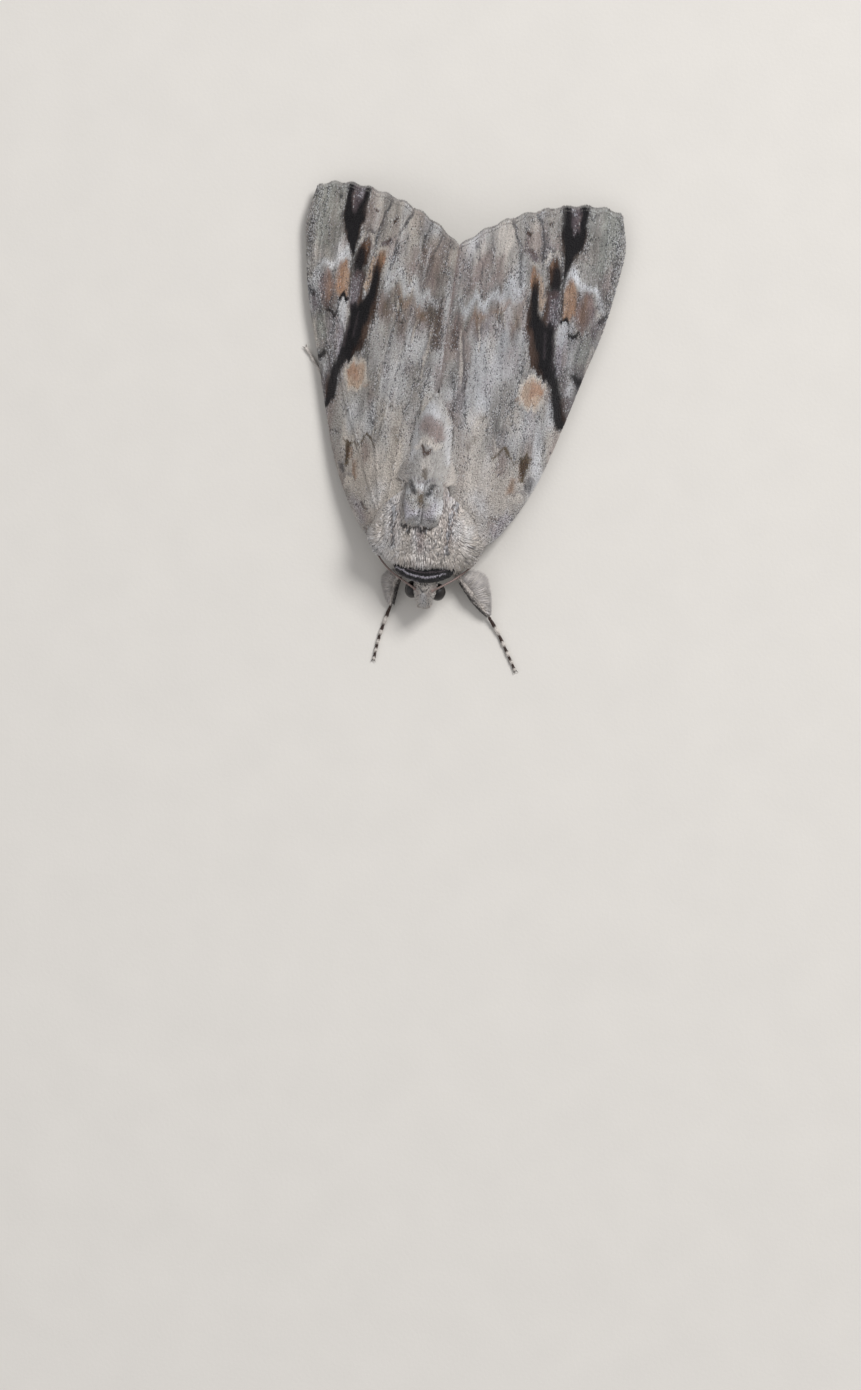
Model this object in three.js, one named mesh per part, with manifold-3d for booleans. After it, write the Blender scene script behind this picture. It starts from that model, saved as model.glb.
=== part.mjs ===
// A large underwing moth at rest: the forewings are folded flat over the body and the hindwings.
// Millimetres, +Z up. The head points to -Y and the moth's own left side is toward +X.
import * as THREE from "three";
import { mergeVertices } from "three/addons/utils/BufferGeometryUtils.js";
import Module from "manifold-3d";

const wasm = await Module();
wasm.setup();

// ---- Driving dimensions ----
const GAP = 0.32; // clearance between neighbouring pieces
const HALF_GAP = GAP / 2;
const MEMBRANE = 0.5; // thickness of a wing
const ORIGIN = [0, 18.0]; // plan position of the part's origin in the body frame used below
const HEAD_X = 0.6; // the head is turned slightly to the moth's left

// Front edge of the folded forewing: distance from the midline, distance behind the head, height.
const COSTA = [
  [6.65, 5.3, 3.6],
  [8.3, 7.3, 2.65],
  [11.2, 12.7, 1.8],
  [13.4, 19.5, 1.45],
  [15.1, 25.7, 1.38],
  [16.7, 31.2, 1.36],
  [17.75, 37.2, 1.36],
  [18.05, 40.6, 1.38],
  [17.35, 44.0, 1.42],
];
// Inner edge of the folded forewing, along the midline behind the abdomen's base.
const INNER = [
  [3.5, 7.4, 5.7],
  [2.75, 10.4, 7.0],
  [2.3, 14.0, 7.6],
  [2.0, 18.0, 7.45],
  [0.9, 22.0, 7.05],
  [0.17, 25.5, 6.7],
  [0.17, 31.5, 6.1],
  [0.17, 38.2, 5.05],
];
const MARGIN_BULGE = 2.2; // how far the outer margin bows out behind its chord
const ARCH = 1.35; // how round the wing's slope is from the midline to its front edge
const WING_ROWS = 18;
const VEIN_HEIGHT = 0.16; // how far a vein stands above the membrane
const VEIN_HALF = 0.24; // half its width at the foot
const TOOTH = 0.3; // how far the margin reaches out at a vein's end
// Veins of a forewing: place across the wing from inner to front edge, and where along it each starts.
const FORE_VEINS = [
  [0.1, 0],
  [0.26, 0.38],
  [0.37, 0],
  [0.45, 0.5],
  [0.53, 0.5],
  [0.62, 0.5],
  [0.7, 0],
  [0.8, 0.5],
  [0.9, 0],
];
const HIND_VEINS = [
  [0.18, 0],
  [0.36, 0.2],
  [0.54, 0],
  [0.7, 0.3],
  [0.86, 0],
];
const HIND_ROWS = 8;

const UP = new THREE.Vector3(0, 0, 1);
const vec = (p) => new THREE.Vector3(p[0], p[1], p[2]);
const curveOf = (points) => new THREE.CatmullRomCurve3(points.map(vec), false, "centripetal");
const lerp = THREE.MathUtils.lerp;
const costaCurve = curveOf(COSTA);
const innerCurve = curveOf(INNER);

// ---- Solids ----

// Faces between successive rings of equally many points; fans close both ends.
function loft(rings) {
  const n = rings[0].length;
  const points = rings.flat();
  const faces = [];
  for (let k = 0; k + 1 < rings.length; k++) {
    for (let j = 0; j < n; j++) {
      const a = k * n + j;
      const b = k * n + ((j + 1) % n);
      faces.push([a, b, b + n], [a, b + n, a + n]);
    }
  }
  for (const [k, turned] of [[0, true], [rings.length - 1, false]]) {
    const centre = rings[k].reduce((sum, p) => sum.map((v, i) => v + p[i] / n), [0, 0, 0]);
    const c = points.push(centre) - 1;
    for (let j = 0; j < n; j++) {
      const a = k * n + j;
      const b = k * n + ((j + 1) % n);
      faces.push(turned ? [b, a, c] : [a, b, c]);
    }
  }
  return closed(points, faces);
}

// A closed solid from points and triangles, its faces turned outwards.
function closed(points, faces) {
  let volume = 0;
  for (const [a, b, c] of faces) {
    volume += vec(points[a]).dot(vec(points[b]).cross(vec(points[c])));
  }
  const out = volume < 0 ? faces.map(([a, b, c]) => [a, c, b]) : faces;
  return new wasm.Manifold(
    new wasm.Mesh({
      numProp: 3,
      vertProperties: new Float32Array(points.flat()),
      triVerts: new Uint32Array(out.flat()),
    }),
  );
}

// A three.js geometry with closed faces as a solid.
function solidOf(geometry) {
  const bare = geometry.clone();
  bare.deleteAttribute("normal");
  bare.deleteAttribute("uv");
  const merged = mergeVertices(bare, 1e-4);
  return new wasm.Manifold(
    new wasm.Mesh({
      numProp: 3,
      vertProperties: merged.attributes.position.array,
      triVerts: new Uint32Array(merged.index.array),
    }),
  );
}

function ellipsoid(centre, radii, across = 16, down = 10) {
  const geometry = new THREE.SphereGeometry(1, across, down);
  geometry.scale(...radii);
  geometry.translate(...centre);
  return solidOf(geometry);
}

// A tube along a curve; radiusAt(t) gives its radius, flat squeezes its height.
function tube(points, radiusAt, { steps = 8, sides = 10, flat = 1, grow = 0 } = {}) {
  const curve = curveOf(points);
  const rings = [];
  for (let k = 0; k <= steps; k++) {
    const t = k / steps;
    const centre = curve.getPointAt(t);
    const ahead = curve.getTangentAt(t);
    const side = new THREE.Vector3().crossVectors(ahead, UP).normalize();
    const over = new THREE.Vector3().crossVectors(side, ahead);
    const r = radiusAt(t) + grow;
    const ring = [];
    for (let j = 0; j < sides; j++) {
      const a = (j / sides) * Math.PI * 2;
      const p = centre.clone().addScaledVector(side, r * Math.cos(a));
      p.addScaledVector(over, r * flat * Math.sin(a));
      ring.push(p.toArray());
    }
    rings.push(ring);
  }
  return loft(rings);
}

// A body section across Y: a rounded outline between two heights, widest below the middle.
function section(y, x, low, high, half, { sides = 16, power = 2.3, widest = 0.4 } = {}) {
  const ring = [];
  const middle = lerp(low, high, widest);
  for (let j = 0; j < sides; j++) {
    const a = (j / sides) * Math.PI * 2;
    const c = Math.cos(a);
    const s = Math.sin(a);
    const px = Math.sign(c) * Math.abs(c) ** (2 / power) * half;
    const pz = Math.sign(s) * Math.abs(s) ** (2 / power) * (s > 0 ? high - middle : middle - low);
    ring.push([x + px, y, middle + pz]);
  }
  return ring;
}

// A body lofted through sections [y, x, low, high, half width].
const body = (sections, grow = 0) =>
  loft(sections.map(([y, x, low, high, half]) => section(y, x, low - grow, high + grow, half + grow)));

// A plan outline made solid between two heights.
function prism(outline, low, high) {
  const shape = new THREE.Shape(outline.map(([x, y]) => new THREE.Vector2(x, y)));
  const geometry = new THREE.ExtrudeGeometry(shape, { depth: high - low, bevelEnabled: false });
  geometry.translate(0, 0, low);
  return solidOf(geometry);
}

// The largest closed body of a solid that cutting may have left in pieces.
function largest(solid) {
  const bodies = solid.decompose();
  return bodies.reduce((best, b) => (b.volume() > best.volume() ? b : best));
}

const union = (solids) => solids.reduce((all, s) => all.add(s));

// A flat tapered lock: it leaves its root along lie and curls towards its upper side by bend of its length.
function lock({ root, lie, over = [0, 0, 1], length, width, thick = 0.5, bend = 0 }) {
  const ahead = vec(lie).normalize();
  const side = new THREE.Vector3().crossVectors(ahead, vec(over)).normalize();
  const lift = new THREE.Vector3().crossVectors(side, ahead);
  const at = (u) =>
    vec(root).addScaledVector(ahead, length * u).addScaledVector(lift, length * bend * u * u);
  const rings = [0, 0.6, 1].map((u) => {
    const half = (width / 2) * (1 - 0.85 * u ** 2.2);
    const deep = (thick / 2) * (1 - 0.75 * u);
    const corners = [[-half, 0], [0, -deep], [half, 0], [0, deep]];
    return corners.map(([a, b]) =>
      at(u).addScaledVector(side, a).addScaledVector(lift, b).toArray());
  });
  return loft(rings);
}
const mirrored = (points, side) => points.map(([x, y, z]) => [side * x, y, z]);

// ---- Wings ----

// Point of the folded forewing's upper surface: s from base to outer margin, t from inner edge to front edge.
function wingPoint(s, t) {
  const inner = innerCurve.getPoint(s);
  const front = costaCurve.getPoint(s);
  const bow = MARGIN_BULGE * (1 - Math.abs(2 * t - 1) ** 2.4) * s ** 3;
  return [
    lerp(inner.x, front.x, t),
    lerp(inner.y, front.y, t) + bow,
    lerp(inner.z, front.z, Math.max(0, t) ** ARCH),
  ];
}

// Lines across a veined wing at row s: [t, vein ridge 0 to 1]. Each vein is a crest between two feet.
function veinLines(veins, s, span) {
  const lines = [[0, 0]];
  const foot = Math.min(VEIN_HALF / span, 0.03);
  for (const [t, start] of veins) {
    const rise = THREE.MathUtils.smoothstep(s, start - 0.02, start + 0.03);
    lines.push([t - foot, 0], [t, start === 0 ? 1 : rise], [t + foot, 0]);
  }
  lines.push([1, 0]);
  return lines;
}

// A veined wing: pointAt(s, t) is its smooth upper surface.
function veinedSheet(pointAt, veins, rows, side) {
  const lineAt = (s) => {
    const [x0, y0] = pointAt(s, 0);
    const [x1, y1] = pointAt(s, 1);
    return veinLines(veins, s, Math.hypot(x1 - x0, y1 - y0));
  };
  const columns = lineAt(0).length - 1;
  const ridged = (s, u) => {
    const [t, rise] = lineAt(s)[Math.round(u * columns)];
    const [x, y, z] = pointAt(s, t);
    return [x, y + (s === 1 ? TOOTH * rise : 0), z, VEIN_HEIGHT * rise];
  };
  return sheet(ridged, rows, columns, side, 0, MEMBRANE);
}

// A sheet over a grid of surface points, thick downwards; a fourth number lifts the upper face alone.
function sheet(pointAt, rows, columns, side, above, below) {
  const points = [];
  const faces = [];
  const across = columns + 1;
  for (const upper of [true, false]) {
    for (let i = 0; i <= rows; i++) {
      for (let j = 0; j <= columns; j++) {
        const [x, y, z, ridge = 0] = pointAt(i / rows, j / columns);
        points.push([side * x, y, upper ? z + above + ridge : z - below]);
      }
    }
  }
  const under = (rows + 1) * across;
  for (let i = 0; i < rows; i++) {
    for (let j = 0; j < columns; j++) {
      const a = i * across + j;
      const b = a + across;
      faces.push([a, a + 1, b + 1], [a, b + 1, b]);
      faces.push([under + a, under + b + 1, under + a + 1], [under + a, under + b, under + b + 1]);
    }
  }
  const rim = [];
  for (let j = 0; j < columns; j++) rim.push(j);
  for (let i = 0; i < rows; i++) rim.push(i * across + columns);
  for (let j = columns; j > 0; j--) rim.push(rows * across + j);
  for (let i = rows; i > 0; i--) rim.push(i * across);
  rim.forEach((a, k) => {
    const b = rim[(k + 1) % rim.length];
    faces.push([b, a, under + a], [b, under + a, under + b]);
  });
  return closed(points, faces);
}

const forewing = (side) => veinedSheet(wingPoint, FORE_VEINS, WING_ROWS, side);

// The same wing's root grown by the gap, for cutting room out of the thorax and the tegulae.
function wingRoom(side) {
  const wide = (s, t) => wingPoint(lerp(0, 0.5, s), lerp(-0.06, 1.12, t));
  const grown = (s, t) => {
    const [x, y, z] = wide(s, t);
    return [x - (t < 0.5 ? 0.1 : 0), y - (s === 0 ? GAP : 0), z];
  };
  return sheet(grown, 10, 8, side, GAP, MEMBRANE + GAP);
}

// The hindwing lies under the forewing, short of its edges.
function hindwing(side) {
  const from = 0.3;
  const to = 0.93;
  const front = 0.7;
  const drop = MEMBRANE + GAP + VEIN_HEIGHT;
  const pointAt = (s, t) => {
    const row = lerp(from, to, s);
    const [x0] = wingPoint(row, 0);
    const [x1] = wingPoint(row, 1);
    const near = (Math.max(1.7, x0 + 0.2) - x0) / (x1 - x0);
    const [x, y, z] = wingPoint(row, lerp(near, front, t));
    return [x, y, z - drop];
  };
  return veinedSheet(pointAt, HIND_VEINS, HIND_ROWS, side);
}

// ---- Body ----

const collarPath = [
  [-3.2, 3.0, 3.9],
  [-1.7, 1.95, 4.9],
  [0.35, 1.55, 5.2],
  [2.4, 1.95, 4.9],
  [3.9, 3.0, 3.9],
];
const collarRadius = (t) => 0.35 + 0.55 * Math.sin(Math.PI * t) ** 0.6;
const collarSolid = (grow) => tube(collarPath, collarRadius, { steps: 12, sides: 12, grow });

const trunk = [
  [2.55, 0.3, 3.3, 5.4, 2.6],
  [3.0, 0.3, 2.6, 6.3, 4.4],
  [3.8, 0.25, 2.1, 7.0, 5.4],
  [5.0, 0.15, 1.8, 7.6, 6.1],
  [6.3, 0.05, 1.7, 8.0, 6.3],
  [7.8, 0, 1.7, 8.15, 5.9],
  [9.8, 0, 1.7, 8.1, 4.7],
  [11.4, 0, 1.8, 7.8, 3.6],
  [12.1, 0, 2.3, 7.2, 2.9],
];

// Plan of the tegula, the scaled flap over the wing's root, from its inner edge outwards.
const tegulaPlan = (inset) => [
  [2.15 + inset, 1.0],
  [2.35 + inset, 6.5],
  [3.1 + inset, 13.0],
  [12, 13.0],
  [12, 1.0],
];
const TEGULA_FLOOR = 4.5;

const headSections = [
  [-1.4, HEAD_X, 2.5, 3.5, 0.45],
  [-1.0, HEAD_X, 2.1, 3.9, 0.9],
  [-0.3, HEAD_X, 1.8, 4.2, 1.2],
  [0.5, HEAD_X, 1.8, 4.35, 1.35],
  [1.2, HEAD_X, 2.2, 4.0, 1.1],
];
const EYE_RADII = [0.85, 0.98, 0.98];
const eyeCentre = (side) => [HEAD_X + side * 1.45, -0.15, 2.95];
const eye = (side, grow = 0) => ellipsoid(eyeCentre(side), EYE_RADII.map((r) => r + grow), 14, 8);

// Short locks on the crown, lying forwards over the brow.
function crownLocks() {
  const locks = [];
  for (const [y, count, spread] of [[0.5, 4, 0.85], [-0.35, 3, 0.6]]) {
    for (let i = 0; i < count; i++) {
      const across = (i / (count - 1)) * 2 - 1;
      locks.push(lock({
        root: [HEAD_X + across * spread, y, 4.05 - 0.25 * Math.abs(across)],
        lie: [across * 0.25, -1, 0.28],
        length: 1.35,
        width: 0.85,
        bend: -0.12,
      }));
    }
  }
  return union(locks);
}

function palp(side, grow = 0) {
  const points = [
    [HEAD_X + side * 0.5, -1.45, 1.95],
    [HEAD_X + side * 0.48, -1.8, 2.6],
    [HEAD_X + side * 0.44, -1.88, 3.35],
    [HEAD_X + side * 0.4, -1.8, 4.05],
  ];
  const radius = (t) => 0.14 + 0.24 * Math.sin(Math.PI * Math.min(1, 0.15 + t)) ** 0.8;
  return tube(points, radius, { steps: 7, sides: 10, grow });
}

function antenna(side) {
  const points = [
    [HEAD_X + side * 1.05, -0.3, 4.35],
    [HEAD_X + side * 1.9, 0.35, 4.45],
    [side * 3.7 + 0.3, 1.55, 3.6],
    [side * 5.3 + 0.15, 3.2, 2.65],
    [side * 6.5, 5.6, 2.0],
    [side * 8.9, 9.2, 1.05],
    [side * 10.9, 13.2, 0.62],
    [side * 11.7, 16.6, 0.42],
  ];
  return tube(points, (t) => lerp(0.26, 0.16, t), { steps: 17, sides: 6 });
}

// The crest on the thorax: two clumps of upright locks with a groove between, over low cores.
const CREST_ROWS = [
  // [distance behind the head, lean back, length]
  [6.8, 0.4, 1.5],
  [7.9, 0.75, 1.6],
  [9.1, 1.2, 1.65],
  [10.3, 1.9, 1.55],
];
const CREST_ROOT = 8.3;
function crest() {
  const parts = [ellipsoid([0, 8.9, 8.05], [0.8, 2.3, 0.65], 10, 8)];
  for (const side of [1, -1]) {
    parts.push(ellipsoid([side * 0.95, 8.7, 8.2], [1.0, 2.35, 0.75], 12, 8));
    for (const [y, lean, length] of CREST_ROWS) {
      for (const [x, out] of [[0.6, -0.1], [1.35, 0.3]]) {
        parts.push(lock({
          root: [side * x, y + 0.25 * x, CREST_ROOT - 0.12 * x],
          lie: [side * out, lean, 1],
          over: [0, -1, 0.3],
          length: length - 0.2 * x,
          width: 1.3,
          thick: 0.7,
          bend: -0.12,
        }));
      }
    }
  }
  return union(parts);
}

// The abdomen tapers in rings; each overlaps the next one with a small step.
const ABDOMEN = { front: 12.5, rear: 35.2, rings: 7, step: 0.14 };
function abdomenBody() {
  const girth = [[0, 2.6, 1.4, 5.2], [0.08, 3.1, 0.95, 5.6], [0.25, 3.2, 0.85, 5.45], [0.5, 2.85, 0.8, 4.85],
    [0.75, 2.2, 0.8, 3.95], [0.92, 1.6, 0.85, 3.1], [1, 1.1, 1.0, 2.5]];
  const sizeAt = (u) => {
    const k = Math.max(1, girth.findIndex(([v]) => v >= u));
    const [a, b] = [girth[k - 1], girth[k]];
    const f = (u - a[0]) / (b[0] - a[0]);
    return [1, 2, 3].map((i) => lerp(a[i], b[i], f));
  };
  const sections = [];
  for (let k = 0; k < ABDOMEN.rings; k++) {
    for (const [u, grow] of [[k, -ABDOMEN.step], [k + 0.2, 0]]) {
      const [half, low, high] = sizeAt(u / ABDOMEN.rings);
      const y = lerp(ABDOMEN.front, ABDOMEN.rear, u / ABDOMEN.rings);
      sections.push([y, 0, low - grow / 2, high + grow, half + grow]);
    }
  }
  const [half, low, high] = sizeAt(1);
  sections.push([ABDOMEN.rear, 0, low, high, half]);
  return loft(sections.map(([y, x, lo, hi, w]) => section(y, x, lo, hi, w, { sides: 14 })));
}

// Tufts on the first rings fill the opening between the wing bases, over a low core.
const tuftCore = [
  [12.6, 0, 3.0, 6.6, 1.3],
  [15.0, 0, 3.0, 6.75, 1.5],
  [18.5, 0, 3.0, 6.4, 1.2],
  [21.0, 0, 3.0, 5.6, 0.6],
];
function backTufts() {
  const locks = [];
  for (const [y, z, count, spread, length] of [
    [12.9, 6.15, 3, 1.05, 2.7],
    [14.9, 6.2, 3, 1.1, 2.7],
    [16.9, 6.1, 3, 0.9, 2.6],
    [18.9, 5.8, 2, 0.4, 2.8],
  ]) {
    for (let i = 0; i < count; i++) {
      const across = (i / (count - 1)) * 2 - 1;
      locks.push(lock({
        root: [across * spread, y, z - 0.2 * across * across],
        lie: [across * 0.02, 1, 0.5],
        length,
        width: 1.35,
        thick: 0.6,
        bend: -0.14,
      }));
    }
  }
  return union(locks);
}

// The tuft at the abdomen's tip.
function tailTuft() {
  const locks = [];
  const count = 7;
  for (let i = 0; i < count; i++) {
    const a = (i / count) * Math.PI * 2;
    locks.push(lock({
      root: [0.75 * Math.cos(a), 34.5, 1.75 + 0.5 * Math.sin(a)],
      lie: [0.2 * Math.cos(a), 1, 0.1 * Math.sin(a)],
      over: [Math.cos(a), 0, Math.sin(a)],
      length: 3.0,
      width: 1.0,
      bend: -0.08,
    }));
  }
  return union(locks);
}

// Hair-like scales at the tegula's rear edge, lying back over the wing's root.
function tegulaFringe(side) {
  const locks = [];
  for (let i = 0; i < 6; i++) {
    const f = i / 5;
    locks.push(lock({
      root: [side * lerp(3.0, 5.3, f), lerp(9.3, 7.7, f), lerp(7.35, 5.4, f)],
      lie: [side * 0.25 * f, 1, lerp(-0.02, -0.1, f)],
      length: lerp(2.8, 2.3, f),
      width: 0.95,
      thick: 0.6,
    }));
  }
  return union(locks);
}

// ---- Legs: femur, tibia and tarsus of each, in plan for the moth's left side ----
const FORE = {
  left: {
    femur: [[2.2, 4.6, 1.05], [3.9, 1.95, 1.55]],
    tibia: [[4.2, 1.6, 1.55], [5.8, -0.2, 1.25], [7.45, -1.75, 0.75]],
    tarsus: [[7.75, -2.1, 0.5], [8.9, -3.7, 0.24], [10.2, -5.8, 0.2], [11.4, -7.8, 0.2]],
    fringe: { turn: [70, -20], count: 11, root: 1.2, full: 2.85, end: 0.8, peak: 0.3 },
  },
  right: {
    femur: [[-2.0, 4.6, 1.05], [-2.55, 1.8, 1.6]],
    tibia: [[-2.65, 1.35, 1.6], [-3.1, 0.1, 1.25], [-3.3, -1.5, 0.75]],
    tarsus: [[-3.4, -2.0, 0.5], [-3.95, -3.9, 0.24], [-4.4, -6.0, 0.2], [-4.65, -8.3, 0.2]],
    fringe: { turn: [135, 220], count: 9, root: 1.0, full: 2.0, end: 0.7, peak: 0.35 },
  },
};
const MID = {
  left: {
    femur: [[1.9, 6.9, 0.95], [4.6, 8.2, 0.95], [7.1, 9.9, 0.9]],
    tibia: [[7.5, 10.2, 0.85], [8.4, 13.8, 0.7], [9.0, 17.6, 0.6]],
    tarsus: [[9.15, 18.05, 0.42], [9.9, 21.0, 0.2], [10.9, 24.6, 0.2]],
  },
  right: {
    femur: [[-1.9, 6.9, 0.95], [-4.6, 8.2, 0.95], [-7.1, 10.0, 0.9]],
    tibia: [[-7.45, 10.35, 0.85], [-9.2, 14.4, 0.7], [-11.3, 18.2, 0.55]],
    tarsus: [[-11.6, 18.6, 0.38], [-13.6, 22.0, 0.2], [-16.75, 26.0, 0.2]],
  },
};
const HIND = {
  left: {
    femur: [[1.8, 9.6, 0.95], [3.4, 12.0, 0.9], [4.9, 14.4, 0.85]],
    tibia: [[5.15, 14.85, 0.8], [5.9, 19.6, 0.65], [6.3, 24.4, 0.55]],
    tarsus: [[6.35, 24.9, 0.38], [6.9, 28.6, 0.2], [7.7, 32.6, 0.2]],
  },
};
HIND.right = Object.fromEntries(Object.entries(HIND.left).map(([k, p]) => [k, mirrored(p, -1)]));

const femurRadius = (t) => 0.42 + 0.2 * Math.sin(Math.PI * Math.min(1, t * 1.1));
const tibiaRadius = (t) => 0.3 + 0.16 * Math.sin(Math.PI * t);
const TARSUS_STEPS = 8; // two per joint of the tarsus
const tarsusRadius = (t) => lerp(0.29, 0.24, t) * (Math.round(t * TARSUS_STEPS) % 2 ? 1.08 : 0.9);

// The hair along a fore tibia: a fan of overlapping locks on its outer side.
function tibiaFringe({ tibia, fringe }) {
  const curve = curveOf(tibia);
  const locks = [];
  for (let i = 0; i < fringe.count; i++) {
    const f = i / (fringe.count - 1);
    const root = curve.getPointAt(lerp(0.06, 0.92, f));
    const a = THREE.MathUtils.degToRad(lerp(...fringe.turn, f));
    const near = f < fringe.peak;
    const k = near ? 1 - f / fringe.peak : (f - fringe.peak) / (1 - fringe.peak);
    locks.push(lock({
      root: [root.x, root.y, root.z + (i % 2 ? 0.16 : -0.02)],
      lie: [Math.cos(a), Math.sin(a), -0.08],
      length: lerp(fringe.full, near ? fringe.root : fringe.end, k ** (near ? 1.6 : 1)),
      width: 1.1,
      bend: -0.04,
    }));
  }
  return union(locks);
}

// A pair of spurs near the end of a tibia.
function spurs(tibia, place) {
  const curve = curveOf(tibia);
  const at = curve.getPointAt(place);
  const ahead = curve.getTangentAt(place);
  return union([1, -1].map((turn) => lock({
    root: at.toArray(),
    lie: [ahead.x + turn * 0.55 * ahead.y, ahead.y - turn * 0.55 * ahead.x, ahead.z - 0.05],
    length: 1.35,
    width: 0.42,
    thick: 0.4,
  })));
}

// A tarsus ends in two small claws.
function claws(tarsus) {
  const [end, before] = [vec(tarsus.at(-1)), vec(tarsus.at(-2))];
  const ahead = end.clone().sub(before).setZ(0).normalize();
  return union([1, -1].map((turn) => lock({
    root: end.clone().addScaledVector(ahead, -0.2).toArray(),
    lie: [ahead.x + turn * 0.6 * ahead.y, ahead.y - turn * 0.6 * ahead.x, 0.05],
    length: 0.62,
    width: 0.3,
    thick: 0.3,
    bend: -0.25,
  })));
}

const floorCut = (solid) => solid.subtract(prism([[-30, -20], [30, -20], [30, 60], [-30, 60]], -5, 0));

// ---- The scene graph ----
const moth = new THREE.Group();
const COLOURS = {
  grey: new THREE.Color(0.62, 0.61, 0.6),
  dark: new THREE.Color(0.12, 0.1, 0.1),
  eye: new THREE.Color(0.05, 0.03, 0.025),
  black: new THREE.Color(0.06, 0.055, 0.06),
  tan: new THREE.Color(0.5, 0.44, 0.38),
};

function add(name, solid, colour, roughness = 0.9) {
  const mesh = largest(solid).getMesh();
  const geometry = new THREE.BufferGeometry();
  geometry.setAttribute("position", new THREE.BufferAttribute(new Float32Array(mesh.vertProperties), 3));
  geometry.setIndex(new THREE.BufferAttribute(new Uint32Array(mesh.triVerts), 1));
  geometry.computeVertexNormals();
  const material = new THREE.MeshStandardMaterial({ color: colour, roughness, metalness: 0 });
  const piece = new THREE.Mesh(geometry, material);
  piece.name = name;
  moth.add(piece);
}

const SIDES = [["left", 1], ["right", -1]];
const trunkSolid = body(trunk);
const wingRooms = union(SIDES.map(([, side]) => wingRoom(side)));
const tegulaSpace = (inset) =>
  union(
    SIDES.map(([, side]) => {
      const outline = tegulaPlan(inset).map(([x, y]) => [side * x, y]);
      return prism(side > 0 ? outline : outline.reverse(), TEGULA_FLOOR + inset, 12);
    }),
  );

add("collar", collarSolid(0), COLOURS.dark);
add("thorax", trunkSolid.subtract(tegulaSpace(-HALF_GAP)).subtract(wingRooms).subtract(collarSolid(GAP)), COLOURS.grey);
add("crest", crest().subtract(body(trunk, GAP)), COLOURS.grey);
for (const [word, side] of SIDES) {
  const half = prism(side > 0 ? [[0, -9], [20, -9], [20, 50], [0, 50]] : [[-20, -9], [0, -9], [0, 50], [-20, 50]], 0, 20);
  const flap = trunkSolid.intersect(tegulaSpace(HALF_GAP)).intersect(half).add(tegulaFringe(side));
  add("tegula_" + word, flap.subtract(wingRooms).subtract(collarSolid(GAP)), COLOURS.grey);
  add("forewing_" + word, forewing(side), COLOURS.grey);
  add("hindwing_" + word, hindwing(side), COLOURS.black);
  add("eye_" + word, eye(side), COLOURS.eye, 0.3);
  add("palp_" + word, palp(side), COLOURS.tan);
  add("antenna_" + word, antenna(side), COLOURS.tan);
}
const besideHead = [eye(1, GAP), eye(-1, GAP), palp(1, GAP), palp(-1, GAP), collarSolid(GAP)];
const headSolid = body(headSections).add(crownLocks());
add("head", besideHead.reduce((solid, other) => solid.subtract(other), headSolid), COLOURS.tan);
const abdomenParts = [abdomenBody(), body(tuftCore), backTufts(), tailTuft()];
add("abdomen", union(abdomenParts).subtract(wingRooms), COLOURS.grey);

for (const [pair, legs] of Object.entries({ fore: FORE, mid: MID, hind: HIND })) {
  for (const [word] of SIDES) {
    const leg = legs[word];
    const tibia = [tube(leg.tibia, tibiaRadius, { steps: 6 })];
    if (pair === "fore") tibia.push(tibiaFringe(leg));
    else tibia.push(spurs(leg.tibia, 0.9));
    if (pair === "hind") tibia.push(spurs(leg.tibia, 0.55));
    const tarsus = tube(leg.tarsus, tarsusRadius, { steps: TARSUS_STEPS, sides: 7 });
    add(`${pair}femur_${word}`, tube(leg.femur, femurRadius, { steps: 6 }), COLOURS.grey);
    add(`${pair}tibia_${word}`, floorCut(union(tibia)), COLOURS.grey);
    add(`${pair}tarsus_${word}`, floorCut(tarsus.add(claws(leg.tarsus))), COLOURS.dark);
  }
}

moth.position.set(-ORIGIN[0], -ORIGIN[1], 0);

export default moth;
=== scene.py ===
"""A large underwing moth at rest, life-size, with its forewings folded flat over the body.

Shapes are worked out in millimetres in the body's own frame: +Y runs back from the head along the
midline, +X is the moth's left side and +Z is up. placed() turns them into the part's frame in metres.
"""
import math

import bmesh
import bpy
import numpy as np
from bpy.props import FloatProperty, FloatVectorProperty, IntProperty, PointerProperty
from mathutils import Matrix, Vector


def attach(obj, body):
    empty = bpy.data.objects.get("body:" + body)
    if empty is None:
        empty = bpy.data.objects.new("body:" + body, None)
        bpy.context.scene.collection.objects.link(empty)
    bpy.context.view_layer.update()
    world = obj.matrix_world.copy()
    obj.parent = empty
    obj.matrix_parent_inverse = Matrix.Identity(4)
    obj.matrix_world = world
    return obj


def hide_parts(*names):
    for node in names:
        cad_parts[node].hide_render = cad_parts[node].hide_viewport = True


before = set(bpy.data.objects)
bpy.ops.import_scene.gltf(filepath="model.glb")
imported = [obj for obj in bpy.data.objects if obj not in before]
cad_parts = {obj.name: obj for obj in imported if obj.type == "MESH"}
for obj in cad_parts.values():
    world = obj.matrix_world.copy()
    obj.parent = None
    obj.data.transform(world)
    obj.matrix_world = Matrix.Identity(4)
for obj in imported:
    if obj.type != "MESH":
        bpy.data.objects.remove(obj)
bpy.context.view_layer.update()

bl_info = {
    "name": "Underwing moth at rest",
    "version": (1, 0, 0),
    "blender": (4, 5, 0),
    "location": "3D View > Sidebar > Moth",
    "description": "Builds a large underwing moth with folded wings over its packed solids",
    "category": "Object",
}

MM = 0.001
BODY_ORIGIN = np.array([0.0, 18.0, 0.0])  # the part's origin in the body frame
SIDES = (("left", 1), ("right", -1))
UP = np.array([0.0, 0.0, 1.0])
LEAN = 0.14  # markings are placed as they look from a camera that leans this much towards +X
LEAN_AHEAD = -0.05  # and this much towards +Y
LEAN_FROM = 1.3  # height at which that lean shifts nothing


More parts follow.
